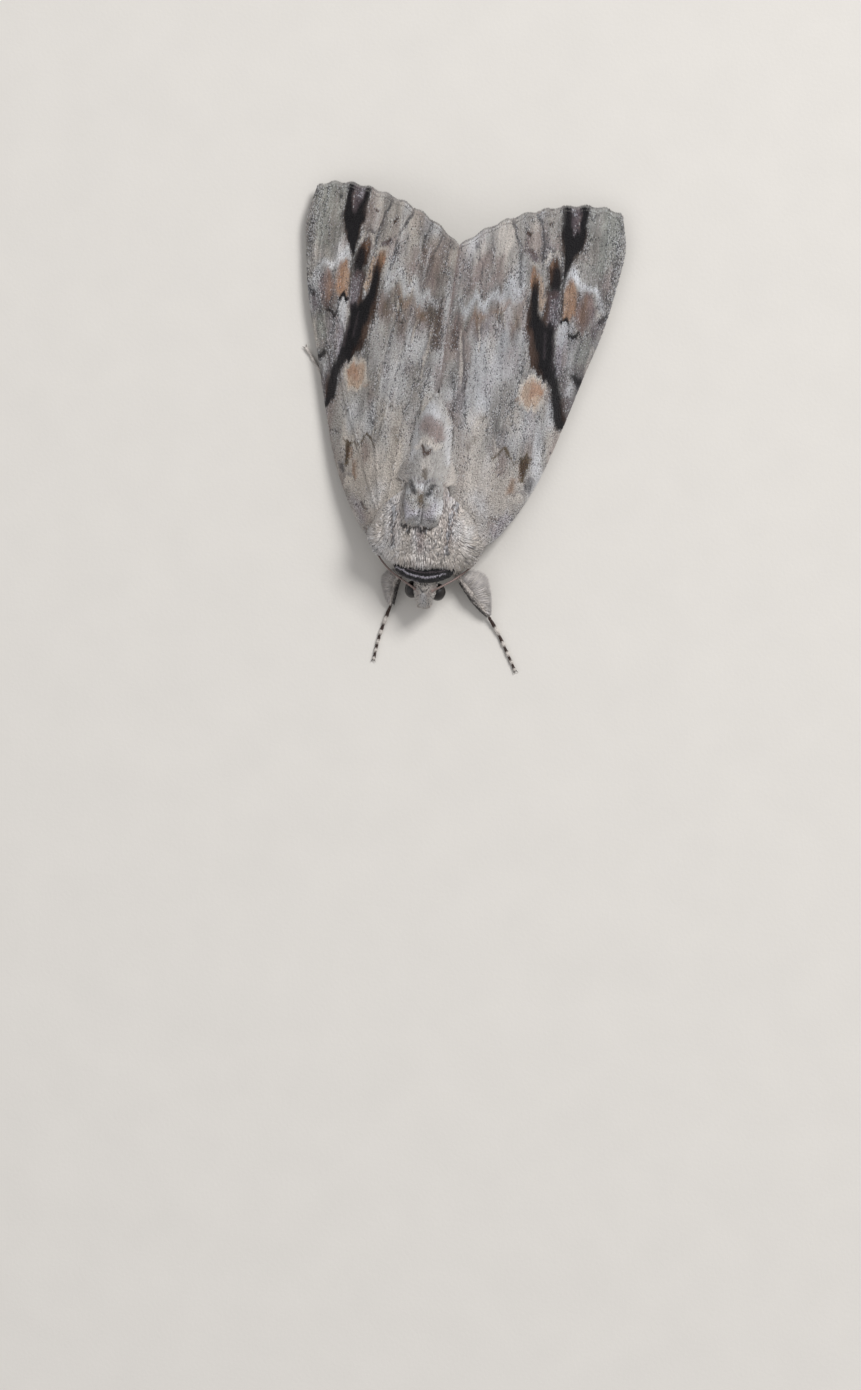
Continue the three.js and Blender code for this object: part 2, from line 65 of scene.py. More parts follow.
def linear(red, green, blue):
    """An 8-bit screen colour as linear light."""
    return tuple((c / 255 / 12.92) if c <= 10 else ((c / 255 + 0.055) / 1.055) ** 2.4
                 for c in (red, green, blue))


def length_setting(name, description, millimetres):
    """A length that a user may change, in metres, given here in millimetres."""
    return FloatProperty(name=name, description=description, default=millimetres * MM,
                         min=0.0, precision=5, unit="LENGTH")


def colour_setting(name, description, *screen):
    """A colour that a user may change."""
    return FloatVectorProperty(name=name, description=description, default=linear(*screen),
                               size=3, min=0.0, max=1.0, subtype="COLOR")


def settings(context):
    """The sizes and the colours that hold in the scene."""
    return context.scene.moth_sizes, context.scene.moth_colours


def count_setting(name, description, number):
    """A number of scales or tufts that a user may change."""
    return IntProperty(name=name, description=description, default=number, min=100)


class MothSizes(bpy.types.PropertyGroup):
    """Sizes of the coat and of the finer forms."""

    wing_scale_length: length_setting("Wing scale length", "Length of one scale of a forewing", 0.31)
    wing_scale_width: length_setting("Wing scale width", "Width of one scale of a forewing", 0.125)
    membrane: length_setting("Membrane", "Thickness of a wing under its scales", 0.16)
    vein_height: length_setting("Vein height", "How far a vein stands above the membrane", 0.1)
    fringe: length_setting("Fringe", "Length of the hair along a wing's outer margin", 0.8)
    coat_depth: length_setting("Coat depth", "How far the skin lies inside the solids", 0.4)
    skin_cell: length_setting("Skin cell", "Cell size of the body's skin", 0.15)
    wing_scales: count_setting("Wing scales", "Scales on each forewing", 46000)
    fringe_hairs: count_setting("Fringe hairs", "Hairs along each forewing's outer margin", 3400)
    hind_fringe_hairs: count_setting("Hind fringe hairs", "Hairs along each hindwing's margin", 1500)
    thorax_tufts: count_setting("Thorax tufts", "Tufts on the thorax", 17000)
    shoulder_tufts: count_setting("Shoulder tufts", "Tufts of both shoulder flaps", 7000)
    crest_tufts: count_setting("Crest tufts", "Tufts on both lobes of the crest", 9000)
    back_tufts: count_setting("Back tufts", "Tufts between the wings' inner edges", 11000)
    abdomen_tufts: count_setting("Abdomen tufts", "Tufts on the abdomen", 7500)
    head_tufts: count_setting("Head tufts", "Tufts on the head, the neck and the collar", 15000)
    brow_tufts: count_setting("Brow tufts", "Tufts of the crown over the eyes", 2300)


class MothColours(bpy.types.PropertyGroup):
    """Colours of scales, hair and skin."""

    ash: colour_setting("Ash", "Ground of the forewings", 163, 160, 157)
    bone: colour_setting("Bone", "Pale warm scales", 200, 193, 186)
    frost: colour_setting("Frost", "Bluish white scales", 206, 207, 211)
    beige: colour_setting("Beige", "Warm wash of the wing's base", 188, 180, 173)
    moss: colour_setting("Moss", "Grey-green patch at the wing's tip", 152, 154, 149)
    slate: colour_setting("Slate", "Dark speckles", 78, 77, 81)
    ink: colour_setting("Ink", "Violet-black streaks and collar", 17, 14, 18)
    umber: colour_setting("Umber", "Dark brown ends of the streaks", 70, 49, 38)
    tawny: colour_setting("Tawny", "Orange-brown lobes near the wing's tip", 158, 126, 103)
    rose: colour_setting("Rose", "Pinkish brown lobes and washes", 134, 116, 112)
    plum: colour_setting("Plum", "Purplish grey between the streaks", 104, 93, 98)
    cream: colour_setting("Cream", "Round spot of the forewing", 190, 168, 150)
    rust: colour_setting("Rust", "Orange centre of the round spot", 176, 130, 104)
    lilac: colour_setting("Lilac", "Pale lilac lines of the collar", 164, 159, 168)
    olive: colour_setting("Olive", "Olive brown zigzag marks", 92, 79, 62)
    soot: colour_setting("Soot", "Hindwings and the forewings' dark underside", 24, 20, 20)
    skin: colour_setting("Skin", "Skin under the coat", 96, 86, 80)
    eye: colour_setting("Eye", "Compound eyes", 17, 11, 10)
    claw: colour_setting("Claw", "Claws and spurs' tips", 44, 28, 20)


class MothStudio(bpy.types.PropertyGroup):
    """Camera, light and floor."""

    camera_distance: FloatProperty(name="Camera distance", description="From the camera to the head",
                                   default=0.5, min=0.1, unit="LENGTH")
    key_power: FloatProperty(name="Key power", description="Large soft light behind the moth's left side",
                             default=5.2, min=0.0, unit="POWER")
    fill_power: FloatProperty(name="Fill power", description="Weak light from the front",
                              default=0.5, min=0.0, unit="POWER")
    room_light: FloatProperty(name="Room light", description="Brightness of the even light all round",
                              default=0.5, min=0.0)
    floor: colour_setting("Floor", "Plain pale floor", 214, 210, 204)


# ---- Numbers and curves ----


def placed(points):
    """Body-frame millimetres as the part's metres."""
    return (np.asarray(points, float) - BODY_ORIGIN) * MM


def unit(vectors):
    """Vectors made one long."""
    length = np.linalg.norm(vectors, axis=-1, keepdims=True)
    return vectors / np.maximum(length, 1e-9)


def columns(*parts):
    """One row for each place, from arrays and single numbers."""
    return np.stack(np.broadcast_arrays(*parts), axis=-1).astype(float)


def smooth(low, high, value):
    """Smooth step of value from 0 at low to 1 at high; low may be the larger."""
    share = np.clip((np.asarray(value, float) - low) / (high - low), 0, 1)
    return share * share * (3 - 2 * share)


def spline(path, share):
    """Places along a centripetal Catmull-Rom curve through path; share runs from 0 to 1."""
    knots = np.asarray(path, float)
    knots = np.vstack([2 * knots[0] - knots[1], knots, 2 * knots[-1] - knots[-2]])
    along = np.clip(np.asarray(share, float), 0, 1) * (len(knots) - 3)
    first = np.minimum(along.astype(int), len(knots) - 4)
    w = (along - first)[..., None]
    a, b, c, d = (knots[first + k] for k in range(4))
    ab, bc, cd = (np.linalg.norm(q - p, axis=-1, keepdims=True) ** 0.5
                  for p, q in ((a, b), (b, c), (c, d)))
    start = ((b - a) / ab - (c - a) / (ab + bc) + (c - b) / bc) * bc
    end = ((c - b) / bc - (d - b) / (bc + cd) + (d - c) / cd) * bc
    return b + start * w + (3 * (c - b) - 2 * start - end) * w**2 + (2 * (b - c) + start + end) * w**3


def course(path, share):
    """Centres along a curve, with unit directions ahead, to the side and over the curve."""
    share = np.asarray(share, float)
    ahead = unit(spline(path, share + 0.01) - spline(path, share - 0.01))
    side = unit(np.cross(ahead, UP))
    return spline(path, share), ahead, side, np.cross(side, ahead)


def grain(x, y, across, along, seed):
    """Smooth random values from -1 to 1 over a plane, in cells of the given size."""
    gx, gy = np.asarray(x) / across + 37.3 * seed, np.asarray(y) / along + 11.9 * seed
    ix, iy = np.floor(gx), np.floor(gy)
    fx, fy = gx - ix, gy - iy
    fx, fy = fx * fx * (3 - 2 * fx), fy * fy * (3 - 2 * fy)

    def corner(i, j):
        """A random value for each corner of the cells."""
        wave = np.sin(i * 127.1 + j * 311.7 + seed * 74.7) * 43758.5453
        return 2 * (wave - np.floor(wave)) - 1

    near = corner(ix, iy) * (1 - fx) + corner(ix + 1, iy) * fx
    far = corner(ix, iy + 1) * (1 - fx) + corner(ix + 1, iy + 1) * fx
    return near * (1 - fy) + far * fy


def in_stroke(x, y, stroke, soft):
    """How much of each place lies in a stroke of points (x, y, half width), from 0 to 1."""
    covered = np.zeros(np.shape(x))
    for (ax, ay, aw), (bx, by, bw) in zip(stroke, stroke[1:]):
        dx, dy = bx - ax, by - ay
        t = np.clip(((x - ax) * dx + (y - ay) * dy) / (dx * dx + dy * dy), 0, 1)
        half = aw + t * (bw - aw)
        away = np.hypot(x - ax - t * dx, y - ay - t * dy)
        covered = np.maximum(covered, smooth(half + soft / 2, half - soft / 2, away))
    return covered


def in_strokes(x, y, strokes, soft):
    """How much of each place lies in any of several strokes."""
    return np.max([in_stroke(x, y, stroke, soft) for stroke in strokes], axis=0)


# ---- Colour ----


SPRAY = 1.3  # how far dark specks stray round an ink or umber mark


class Paint:
    """Colours over places on a surface, with marks laid over one another."""

    def __init__(self, x, y, colour, seed=1, ragged=0.22):
        self.x = x + ragged * grain(x, y, 0.35, 1.1, seed)
        self.y = y + 2.4 * ragged * grain(x, y, 0.3, 1.4, seed + 3)
        self.colour = np.repeat(np.asarray(colour, float)[None], len(x), axis=0)
        self.spray = np.zeros(len(x))

    def lay(self, cover, colour):
        """Lays one colour where cover says, from 0 to 1."""
        self.colour += (np.asarray(colour) - self.colour) * np.asarray(cover)[:, None]

    def cover(self, stroke, soft):
        """How much of each place a stroke covers."""
        return in_stroke(self.x, self.y, stroke, soft)

    def marks(self, table, colours):
        """Lays a table of marks: colour name, softness, strength, stroke."""
        for name, soft, strength, stroke in table:
            self.lay(self.cover(stroke, soft) * strength, getattr(colours, name))
            if name in ("ink", "umber"):
                self.spray = np.maximum(self.spray, self.cover(stroke, soft + SPRAY))


def seen(points):
    """Plan places as they look from the camera's lean, for marks read from above."""
    return points[:, 0] - LEAN * (points[:, 2] - LEAN_FROM), points[:, 1]


# Veins of a forewing, as strokes through (distance from the midline, distance behind the head,
# half width).
VEINS = (
    ((8.9, 26, 0.13), (8.1, 32, 0.13), (7.4, 35, 0.13), (7, 38.5, 0.12), (6.5, 40, 0.12),
     (5.5, 42.2, 0.1)),
    ((9.6, 26, 0.12), (9.8, 33, 0.12), (9.7, 36, 0.12), (9.4, 39, 0.12), (8.9, 41, 0.12), (8.2, 43.2, 0.1)),
    ((10.6, 26, 0.12), (11.7, 32, 0.12), (11.8, 36, 0.12), (11.5, 40, 0.12), (11.2, 42, 0.12),
     (10.8, 44.2, 0.1)),
    ((11.2, 26, 0.12), (12.9, 30, 0.12), (13.8, 34, 0.12), (13.9, 38, 0.12), (13.8, 42, 0.12),
     (13.8, 44.8, 0.1)),
    ((12.5, 22, 0.12), (14.4, 28, 0.12), (15.9, 33, 0.12), (16.2, 38, 0.12), (16, 44.5, 0.1)),
    ((6.7, 16, 0.13), (6.9, 22, 0.13), (6.2, 28, 0.13), (5, 33, 0.13), (4.2, 36.5, 0.12),
     (3.4, 40.8, 0.1)),
    ((6.2, 16, 0.13), (5, 24, 0.13), (3.6, 31, 0.13), (3, 35.5, 0.12), (1.9, 39, 0.1)),
    ((4.3, 9, 0.14), (3.9, 14, 0.13), (3.3, 20, 0.13), (2.2, 27, 0.13), (1.4, 32, 0.12), (0.9, 37.8, 0.1)),
    ((5.6, 8, 0.16), (8.2, 14, 0.15), (10.9, 20, 0.14), (12.4, 25, 0.12)),
    ((5.2, 8, 0.16), (6.3, 14, 0.15), (7.8, 20, 0.14), (8.9, 26, 0.13)),
)

# Marks of a forewing, laid in this order: colour, softness, strength and stroke.
WING_MARKS = (
    ("slate", 0.5, 0.6, ((13.2, 31, 0.1), (13.4, 27.5, 0.2), (13, 24.6, 0.12))),
    ("plum", 0.6, 0.5, ((12.3, 27.4, 0.2), (12.5, 25, 0.25))),
    # washes of the ground
    ("beige", 4, 0.8, ((4.2, 8, 2.6), (7.4, 12, 3))),
    ("beige", 2.5, 0.5, ((3.6, 14, 1.2), (4, 17.5, 1))),
    ("bone", 2.2, 0.6, ((4.6, 10, 0.8), (4.6, 19, 0.8))),
    ("bone", 2, 0.8, ((5.2, 36, 0.8), (5.6, 40.6, 0.8))),
    ("bone", 1.6, 0.5, ((2.6, 33.8, 0.4), (2.9, 38.6, 0.5))),
    ("bone", 1.4, 0.5, ((8, 42.6, 0.3), (8.1, 41.2, 0.4))),
    ("bone", 1.4, 0.6, ((10, 43.6, 0.5), (10.3, 40.2, 0.4))),
    ("frost", 2.4, 0.6, ((5.4, 10.2, 0.6), (6.1, 9.2, 0.6))),
    ("frost", 2.4, 0.5, ((8.4, 16.8, 0.8), (10.2, 19.2, 1))),
    ("frost", 2.6, 0.5, ((4.8, 21.4, 1), (5.4, 26, 1.2))),
    ("frost", 2.2, 0.5, ((7.4, 24.4, 0.7), (8.4, 28.4, 0.6))),
    ("moss", 1.6, 0.8, ((15.9, 45.2, 1.9), (15.8, 40.5, 1.8), (15.5, 37.8, 1))),
    ("rose", 1.2, 0.35, ((14.9, 43.5, 0.3), (15, 38, 0.3))),
    ("slate", 1.5, 0.35, ((16.2, 36.6, 0.4), (16.4, 34.2, 0.3))),
    ("slate", 0.6, 0.45, ((17.3, 37.5, 0.1), (17.6, 43.6, 0.12))),
    # pale zigzag band across the outer part, with brown shades inside it
    ("rose", 2, 0.5, ((1.8, 28.6, 0.8), (8.4, 30, 0.9))),
    ("olive", 1.6, 0.22, ((2.2, 29.8, 0.6), (4.6, 31.2, 0.5), (7.4, 31, 0.5))),
    ("rose", 2, 0.5, ((1.6, 35, 0.7), (3.6, 37, 0.9))),
    ("slate", 1.4, 0.3, ((0.9, 34, 0.4), (3.8, 35.4, 0.5))),
    ("slate", 1.2, 0.4, ((13.9, 29.4, 0.5), (13.4, 26, 0.5))),
    ("slate", 1.6, 0.55, ((15.7, 31.4, 0.6), (15.2, 26.4, 0.7), (14.2, 22, 0.6))),
    ("moss", 1.2, 0.5, ((14.6, 30.6, 0.3), (14.4, 27, 0.4))),
    ("rose", 1.6, 0.5, ((0.8, 33.2, 0.3), (3.6, 34.4, 0.4), (5.4, 35.6, 0.4))),
    ("olive", 1.4, 0.25, ((1.4, 29.8, 0.4), (4.6, 31, 0.4), (7.6, 31.8, 0.4))),
    ("rose", 1.2, 0.5, ((1, 26.6, 0.5), (1.1, 28.9, 0.7))),
    ("rose", 1, 0.45, ((2.3, 29.4, 0.4), (4.4, 30.3, 0.5))),
    ("tawny", 0.9, 0.65, ((2.9, 29.9, 0.35), (3.6, 31.2, 0.35))),
    ("tawny", 1.1, 0.45, ((4.8, 30.9, 0.4), (6, 31.8, 0.45))),
    ("rose", 0.9, 0.35, ((6.6, 31.6, 0.4), (7.9, 31.4, 0.4))),
    ("tawny", 0.7, 0.35, ((7.2, 29.9, 0.2), (7.6, 30.8, 0.2))),
    ("frost", 0.9, 0.9, ((1.6, 31.2, 0.3), (2.9, 32.4, 0.4), (4.4, 32.7, 0.45))),
    ("frost", 0.9, 0.9, ((5, 32.8, 0.35), (6.3, 34, 0.6), (7.4, 34.2, 0.5))),
    ("frost", 0.8, 0.6, ((6.6, 32.9, 0.3), (7.6, 33.2, 0.3))),
    ("bone", 0.6, 0.7, ((8.3, 37.4, 0.2), (9.2, 37, 0.22))),
    ("rose", 1.2, 0.45, ((2.6, 34.4, 0.4), (3.2, 37.4, 0.35))),
    ("plum", 0.9, 0.4, ((2.6, 33.9, 0.3), (4.1, 33.9, 0.3))),
    ("rose", 0.8, 0.35, ((7.3, 38.8, 0.25), (7.6, 40.2, 0.25))),
    ("olive", 0.8, 0.45, ((4, 15.8, 0.25), (4.5, 16.6, 0.3))),
    ("olive", 0.5, 0.6, ((5, 19, 0.12), (5.3, 19.5, 0.15))),
    ("bone", 0.3, 0.85, ((4.9, 18.5, 0.07), (5.9, 18.3, 0.09), (6.6, 17.3, 0.1), (7, 15.9, 0.08))),
    ("slate", 0.4, 0.5, ((6.25, 17.9, 0.05), (6.85, 17, 0.07), (7.2, 16.1, 0.06))),
    # zigzag across the fore part, and the brown marks beside the front edge
    ("olive", 0.25, 0.95, ((6.6, 14.8, 0.06), (7, 15.3, 0.1), (7.5, 16.05, 0.13), (7.9, 16, 0.14),
                           (8.3, 15.3, 0.1), (8.9, 15, 0.07), (9.6, 15.3, 0.13), (10.1, 15.8, 0.13),
                           (10.6, 15.5, 0.1))),
    ("rose", 0.9, 0.5, ((7.8, 15, 0.35), (7.6, 13.7, 0.45))),
    ("bone", 0.3, 0.7, ((8.4, 13.4, 0.08), (9.2, 14.6, 0.1))),
    ("olive", 0.4, 0.95, ((10, 15.3, 0.42), (9.9, 14.2, 0.4), (9.85, 13, 0.24))),
    ("umber", 0.4, 0.6, ((9.95, 15, 0.22), (9.85, 13.8, 0.22))),
    ("tawny", 0.4, 0.5, ((9.5, 14.6, 0.08), (9.5, 13.2, 0.08))),
    ("tawny", 0.6, 0.75, ((8.9, 13.3, 0.14), (8.7, 11.5, 0.28))),
    ("olive", 0.4, 0.5, ((8.9, 13.2, 0.08), (8.8, 12, 0.1))),
    ("slate", 0.7, 0.7, ((10.7, 12.9, 0.35), (10.3, 12.2, 0.3))),
    ("bone", 0.5, 0.7, ((9.3, 11.1, 0.55), (9.6, 10.9, 0.5))),
    ("slate", 0.4, 0.6, ((8.7, 11.2, 0.08), (9.3, 11.7, 0.1), (10.1, 11.5, 0.08))),
    ("umber", 0.4, 0.8, ((6.8, 8.1, 0.1), (7.7, 8.55, 0.16))),
    ("rose", 1, 0.5, ((7.1, 7.4, 0.3), (8, 8, 0.3))),
    ("lilac", 1.4, 0.6, ((7.4, 7, 0.4), (8.6, 8.8, 0.5))),
    # lilac and white ground outside the black band
    ("lilac", 0.9, 0.85, ((12.3, 25.4, 0.45), (12.5, 29.4, 0.5))),
    ("frost", 0.9, 0.9, ((12.4, 28.8, 0.3), (12.7, 30.6, 0.7))),
    ("frost", 1.3, 0.5, ((13.4, 26.6, 0.4), (13.7, 29.2, 0.3))),
    ("rose", 0.7, 0.5, ((12.9, 25.6, 0.12), (12.8, 27.6, 0.16))),
    ("moss", 1, 0.7, ((14.6, 27.2, 0.4), (15.2, 29.4, 0.4))),
    ("bone", 0.4, 0.7, ((15.1, 26, 0.12), (15.9, 28.8, 0.12))),
    ("plum", 0.9, 0.6, ((13.2, 24.6, 0.4), (13.7, 22.2, 0.5), (13.6, 20.9, 0.3))),
    ("frost", 0.9, 0.7, ((13.8, 23.4, 0.25), (14, 24.4, 0.3))),
    ("ink", 0.5, 0.9, ((14.2, 25.3, 0.35), (14.7, 24.6, 0.34))),
    # lobes behind the front edge
    ("tawny", 0.7, 0.92, ((12.85, 35.6, 0.35), (12.85, 34.2, 0.8), (12.9, 32.7, 0.8), (12.6, 31.9, 0.5))),
    ("cream", 0.7, 0.5, ((12.6, 34.4, 0.2), (12.5, 32.8, 0.25))),
    ("rose", 0.7, 0.92, ((14.75, 34.4, 0.4), (14.7, 33, 0.9), (14.5, 31.6, 0.75), (14.4, 30.4, 0.35))),
    ("tawny", 0.6, 0.5, ((14.5, 34, 0.25), (14.4, 31.6, 0.3))),
    ("plum", 0.5, 0.7, ((15.5, 33.5, 0.16), (15.4, 32.2, 0.25))),
    ("umber", 0.25, 0.6, ((13.8, 34.6, 0.05), (13.8, 31.2, 0.06))),
    ("plum", 0.9, 0.7, ((16.3, 31.6, 0.4), (15.7, 30.2, 0.4))),
    ("ink", 0.5, 0.75, ((16.9, 32.6, 0.2), (16.3, 31.7, 0.26))),
    ("frost", 0.8, 1, ((12.7, 37.4, 0.35), (12.9, 36.4, 0.65), (13.5, 36, 0.4))),
    ("frost", 0.7, 0.95, ((14, 35.4, 0.35), (15.6, 35.1, 0.4))),
    ("frost", 0.8, 0.8, ((15.9, 34.8, 0.25), (16.4, 33.2, 0.2))),
    ("ink", 0.28, 1, ((12.1, 31.2, 0.24), (12.6, 31.6, 0.28), (13, 31.15, 0.2))),
    ("ink", 0.25, 0.95, ((13.1, 30.8, 0.08), (13.2, 29.8, 0.13), (13.5, 29.35, 0.2), (13.9, 29.95, 0.14),
                         (14.15, 30.3, 0.12), (14.4, 29.75, 0.12))),
    ("slate", 0.4, 0.6, ((14.4, 29.5, 0.08), (14.2, 27.4, 0.06), (14.1, 26, 0.06))),
    # dash at the tip
    ("umber", 0.6, 0.8, ((12.5, 41, 1.4), (12.5, 39.4, 1.1), (12.2, 37.8, 0.45), (12, 36.4, 0.14))),
    ("ink", 0.45, 1, ((12.45, 45.6, 1.5), (12.45, 43, 1.38), (12.55, 41, 1.22), (12.55, 39.8, 1),
                        (12.3, 38.6, 0.64), (12.1, 37.4, 0.34), (11.9, 36.2, 0.14))),
    ("plum", 0.7, 0.8, ((12.3, 45.6, 0.5), (12.4, 43.4, 0.55), (12.6, 41.6, 0.3))),
    ("rose", 0.5, 0.55, ((12.9, 43.6, 0.1), (12.8, 41.8, 0.1))),
    ("lilac", 0.4, 0.7, ((11.7, 44.8, 0.16), (12.2, 43, 0.12))),
    # second streak: brown tip, black, purplish grey, black band down to the front edge
    ("bone", 0.4, 0.9, ((9.9, 37.6, 0.12), (10.2, 38.6, 0.16), (10.8, 38.9, 0.16), (11.4, 38.2, 0.12))),
    ("umber", 0.45, 1, ((10.7, 38, 0.3), (10.75, 37.2, 0.6), (10.9, 35.6, 0.72))),
    ("tawny", 0.4, 0.5, ((10.6, 38, 0.14), (10.5, 37.2, 0.2))),
    ("ink", 0.6, 0.95, ((11.1, 37, 0.3), (11.15, 35.6, 0.62), (11.1, 34.2, 0.66))),
    ("plum", 0.7, 0.95, ((11.1, 33.7, 0.8), (11.2, 31.6, 0.76), (11.2, 30.4, 0.6))),
    ("umber", 0.6, 0.55, ((11, 34, 0.5), (11.1, 32.6, 0.3))),
    ("ink", 0.4, 0.4, ((11.5, 33.8, 0.08), (11.4, 31, 0.2))),
    ("ink", 0.4, 0.35, ((10.9, 33.4, 0.06), (10.9, 30.8, 0.18))),
    ("lilac", 0.4, 0.5, ((11.75, 33.2, 0.08), (11.65, 30.8, 0.1))),
    ("lilac", 0.7, 0.28, ((11.1, 33.4, 0.4), (11.1, 31.2, 0.4))),
    ("ink", 0.35, 0.85, ((11.95, 37.2, 0.1), (11.95, 35, 0.14), (12.05, 33, 0.14), (12, 31.8, 0.12))),
    ("umber", 0.5, 0.9, ((10.3, 34.6, 0.14), (10.4, 33, 0.2), (10.45, 31, 0.3))),
    # first streak: orange tip, black, cream beside it
    ("tawny", 0.5, 1, ((8.5, 37, 0.1), (8.7, 36, 0.42), (8.85, 34.9, 0.5))),
    ("rust", 0.4, 0.5, ((8.4, 36, 0.12), (8.4, 35, 0.14))),
    ("cream", 0.35, 0.95, ((9.4, 36, 0.12), (9.65, 34.4, 0.3), (9.85, 33.2, 0.3), (9.9, 32.3, 0.14))),
    ("umber", 0.6, 0.95, ((8.85, 35.9, 0.1), (8.95, 34.4, 0.45), (9, 32, 0.6), (9.6, 30, 1.1),
                         (10.2, 28, 1.25), (10.5, 26.2, 1.1))),
    ("ink", 0.6, 1, ((8.95, 35.2, 0.14), (9, 33.8, 0.4), (9.2, 31.8, 0.5), (9.8, 30.4, 0.84),
                       (10.4, 29.4, 1.1), (10.75, 28, 1), (10.85, 26.6, 0.95), (11, 25.3, 0.8))),
    ("ink", 0.6, 0.97, ((11.1, 30.6, 0.4), (11.2, 27, 0.6), (11.7, 25.2, 0.72), (12.4, 23.6, 0.6),
                        (12.7, 22, 0.68), (12.95, 20.6, 0.75), (13.2, 19.6, 0.45))),
    ("umber", 0.6, 0.5, ((9.9, 27.6, 0.1), (10.1, 26, 0.2), (10.6, 25, 0.2))),
    ("umber", 0.7, 0.6, ((13.4, 22.6, 0.2), (13.5, 20.6, 0.25))),
    ("plum", 0.4, 0.35, ((10.6, 29.6, 0.06), (10.9, 27, 0.1))),
    ("plum", 0.4, 0.4, ((11.5, 28.8, 0.08), (11.8, 26, 0.1))),
    # round spot
    ("bone", 0.3, 1, ((9.9, 22.3, 1.46), (9.95, 23.3, 1.42))),
    ("cream", 0.5, 0.95, ((9.9, 22.4, 1.1), (9.95, 23.2, 1.1))),
    ("rust", 0.7, 0.5, ((9.9, 22.4, 0.3), (10.2, 23.4, 0.5))),
    ("rust", 0.5, 0.7, ((10.8, 22.8, 0.2), (10.9, 23.3, 0.22))),
    ("tawny", 0.4, 0.6, ((8.3, 21.9, 0.1), (8.7, 21.5, 0.12))),
    ("slate", 0.5, 0.5, ((8.4, 24.9, 0.1), (9.4, 25, 0.12))),
    # dark lines and dots near the margin
    ("slate", 0.3, 0.85, ((5.5, 42.2, 0.1), (6.2, 40.6, 0.12), (6.9, 38.9, 0.1))),
    ("slate", 0.3, 0.9, ((8.2, 43.2, 0.12), (8.9, 41.2, 0.12), (9.35, 39.4, 0.14), (9.55, 37.4, 0.1))),
    ("slate", 0.35, 0.6, ((6.95, 38.4, 0.1), (7.2, 36, 0.12), (7.5, 34.8, 0.1))),
    ("slate", 0.3, 0.7, ((1.9, 39, 0.08), (2.9, 36.3, 0.1), (3.1, 34.8, 0.06))),
    ("slate", 0.3, 0.6, ((3.4, 40.8, 0.07), (4.1, 37.6, 0.07))),
    ("ink", 0.3, 0.85, ((10.85, 44.4, 0.12), (11.2, 42, 0.12), (11.4, 40.4, 0.1))),
    ("umber", 0.3, 0.95, ((7.45, 40.5, 0.2), (7.7, 40.6, 0.2))),
    ("umber", 0.3, 0.9, ((9.8, 41.6, 0.17), (9.9, 41.75, 0.17))),
    ("slate", 0.3, 0.9, ((14.3, 43.15, 0.16), (14.5, 43.25, 0.16))),
    ("bone", 0.4, 0.9, ((9.5, 42.5, 0.25), (9.9, 42.4, 0.2))),
    ("plum", 0.5, 0.85, ((7.8, 38.5, 0.3), (8.6, 37.9, 0.3))),
    ("umber", 0.35, 0.7, ((7.9, 38.6, 0.12), (8.3, 38.3, 0.14))),
    ("slate", 0.4, 0.6, ((9.8, 39.2, 0.2), (10.6, 38.9, 0.2))),
    ("ink", 0.3, 0.7, ((5.2, 29.2, 0.14), (5.5, 29.3, 0.14))),
    ("slate", 0.35, 0.65, ((0.75, 31.2, 0.07), (1.2, 28.8, 0.1), (1.45, 26.4, 0.08))),
    # painted shadow: a dark line along the inner edge beside the opening, where the gap between wing and
    # back hair lies in shade
    ("ink", 0.35, 0.6, ((2.45, 15.2, 0.05), (2.2, 17.6, 0.08), (1.85, 19.4, 0.1), (1.8, 21.2, 0.12),
                        (1.4, 23.6, 0.06))),
    ("slate", 0.35, 0.55, ((4.3, 29.9, 0.06), (4.5, 28.6, 0.06))),
    ("bone", 0.4, 0.9, ((1.6, 29.2, 0.1), (1.9, 26.6, 0.12), (2.3, 22.6, 0.1))),
    ("slate", 0.35, 0.7, ((1.95, 28.8, 0.07), (2.2, 26, 0.08), (2.6, 22, 0.07))),
    ("umber", 0.6, 0.55, ((0.7, 28.4, 0.3), (1, 26.6, 0.4))),
    ("olive", 0.5, 0.6, ((3.1, 30.6, 0.16), (3.5, 28.8, 0.1))),
    ("bone", 0.3, 0.9, ((3.5, 30.2, 0.08), (3.9, 26.8, 0.08))),
    ("slate", 0.3, 0.7, ((3.75, 29.8, 0.06), (4.1, 26.4, 0.06))),
    ("olive", 0.5, 0.6, ((5.6, 31.4, 0.2), (5.9, 29.8, 0.14))),
    ("bone", 0.3, 0.9, ((6, 31, 0.08), (6.3, 28.4, 0.08))),
    ("olive", 0.45, 0.6, ((7.4, 31, 0.16), (7.6, 29.6, 0.1))),
    ("rose", 0.9, 0.5, ((4.6, 34.6, 0.4), (5, 37.4, 0.3))),
    ("slate", 0.6, 0.4, ((5.9, 36.2, 0.16), (6, 39, 0.2))),
)

# Shades that only the right forewing bears.
RIGHT_WING_MARKS = (
    ("olive", 2.4, 0.45, ((1, 27.2, 0.5), (2, 30.4, 0.9))),
    ("umber", 1.2, 0.35, ((1.2, 26.8, 0.3), (1.3, 29.4, 0.4))),
    ("olive", 2, 0.3, ((1.6, 34.8, 0.5), (3.6, 38, 0.6))),
    ("olive", 2.4, 0.25, ((5, 29, 0.8), (7.6, 30.6, 0.6))),
    ("rose", 1.6, 0.4, ((9.6, 40, 0.4), (10.6, 41.6, 0.6))),
    ("plum", 1.4, 0.4, ((13.3, 26.6, 0.4), (13.8, 29, 0.4))),
    ("umber", 0.5, 0.5, ((3.7, 38.6, 0.12), (3.9, 35.2, 0.14))),
    ("frost", 0.4, 0.55, ((3.2, 38, 0.1), (3.4, 34.8, 0.12))),
    ("frost", 0.4, 0.45, ((4.3, 38.4, 0.1), (4.4, 35.6, 0.12))),
    ("slate", 0.4, 0.55, ((2.6, 37.4, 0.08), (2.9, 34.2, 0.1))),
)

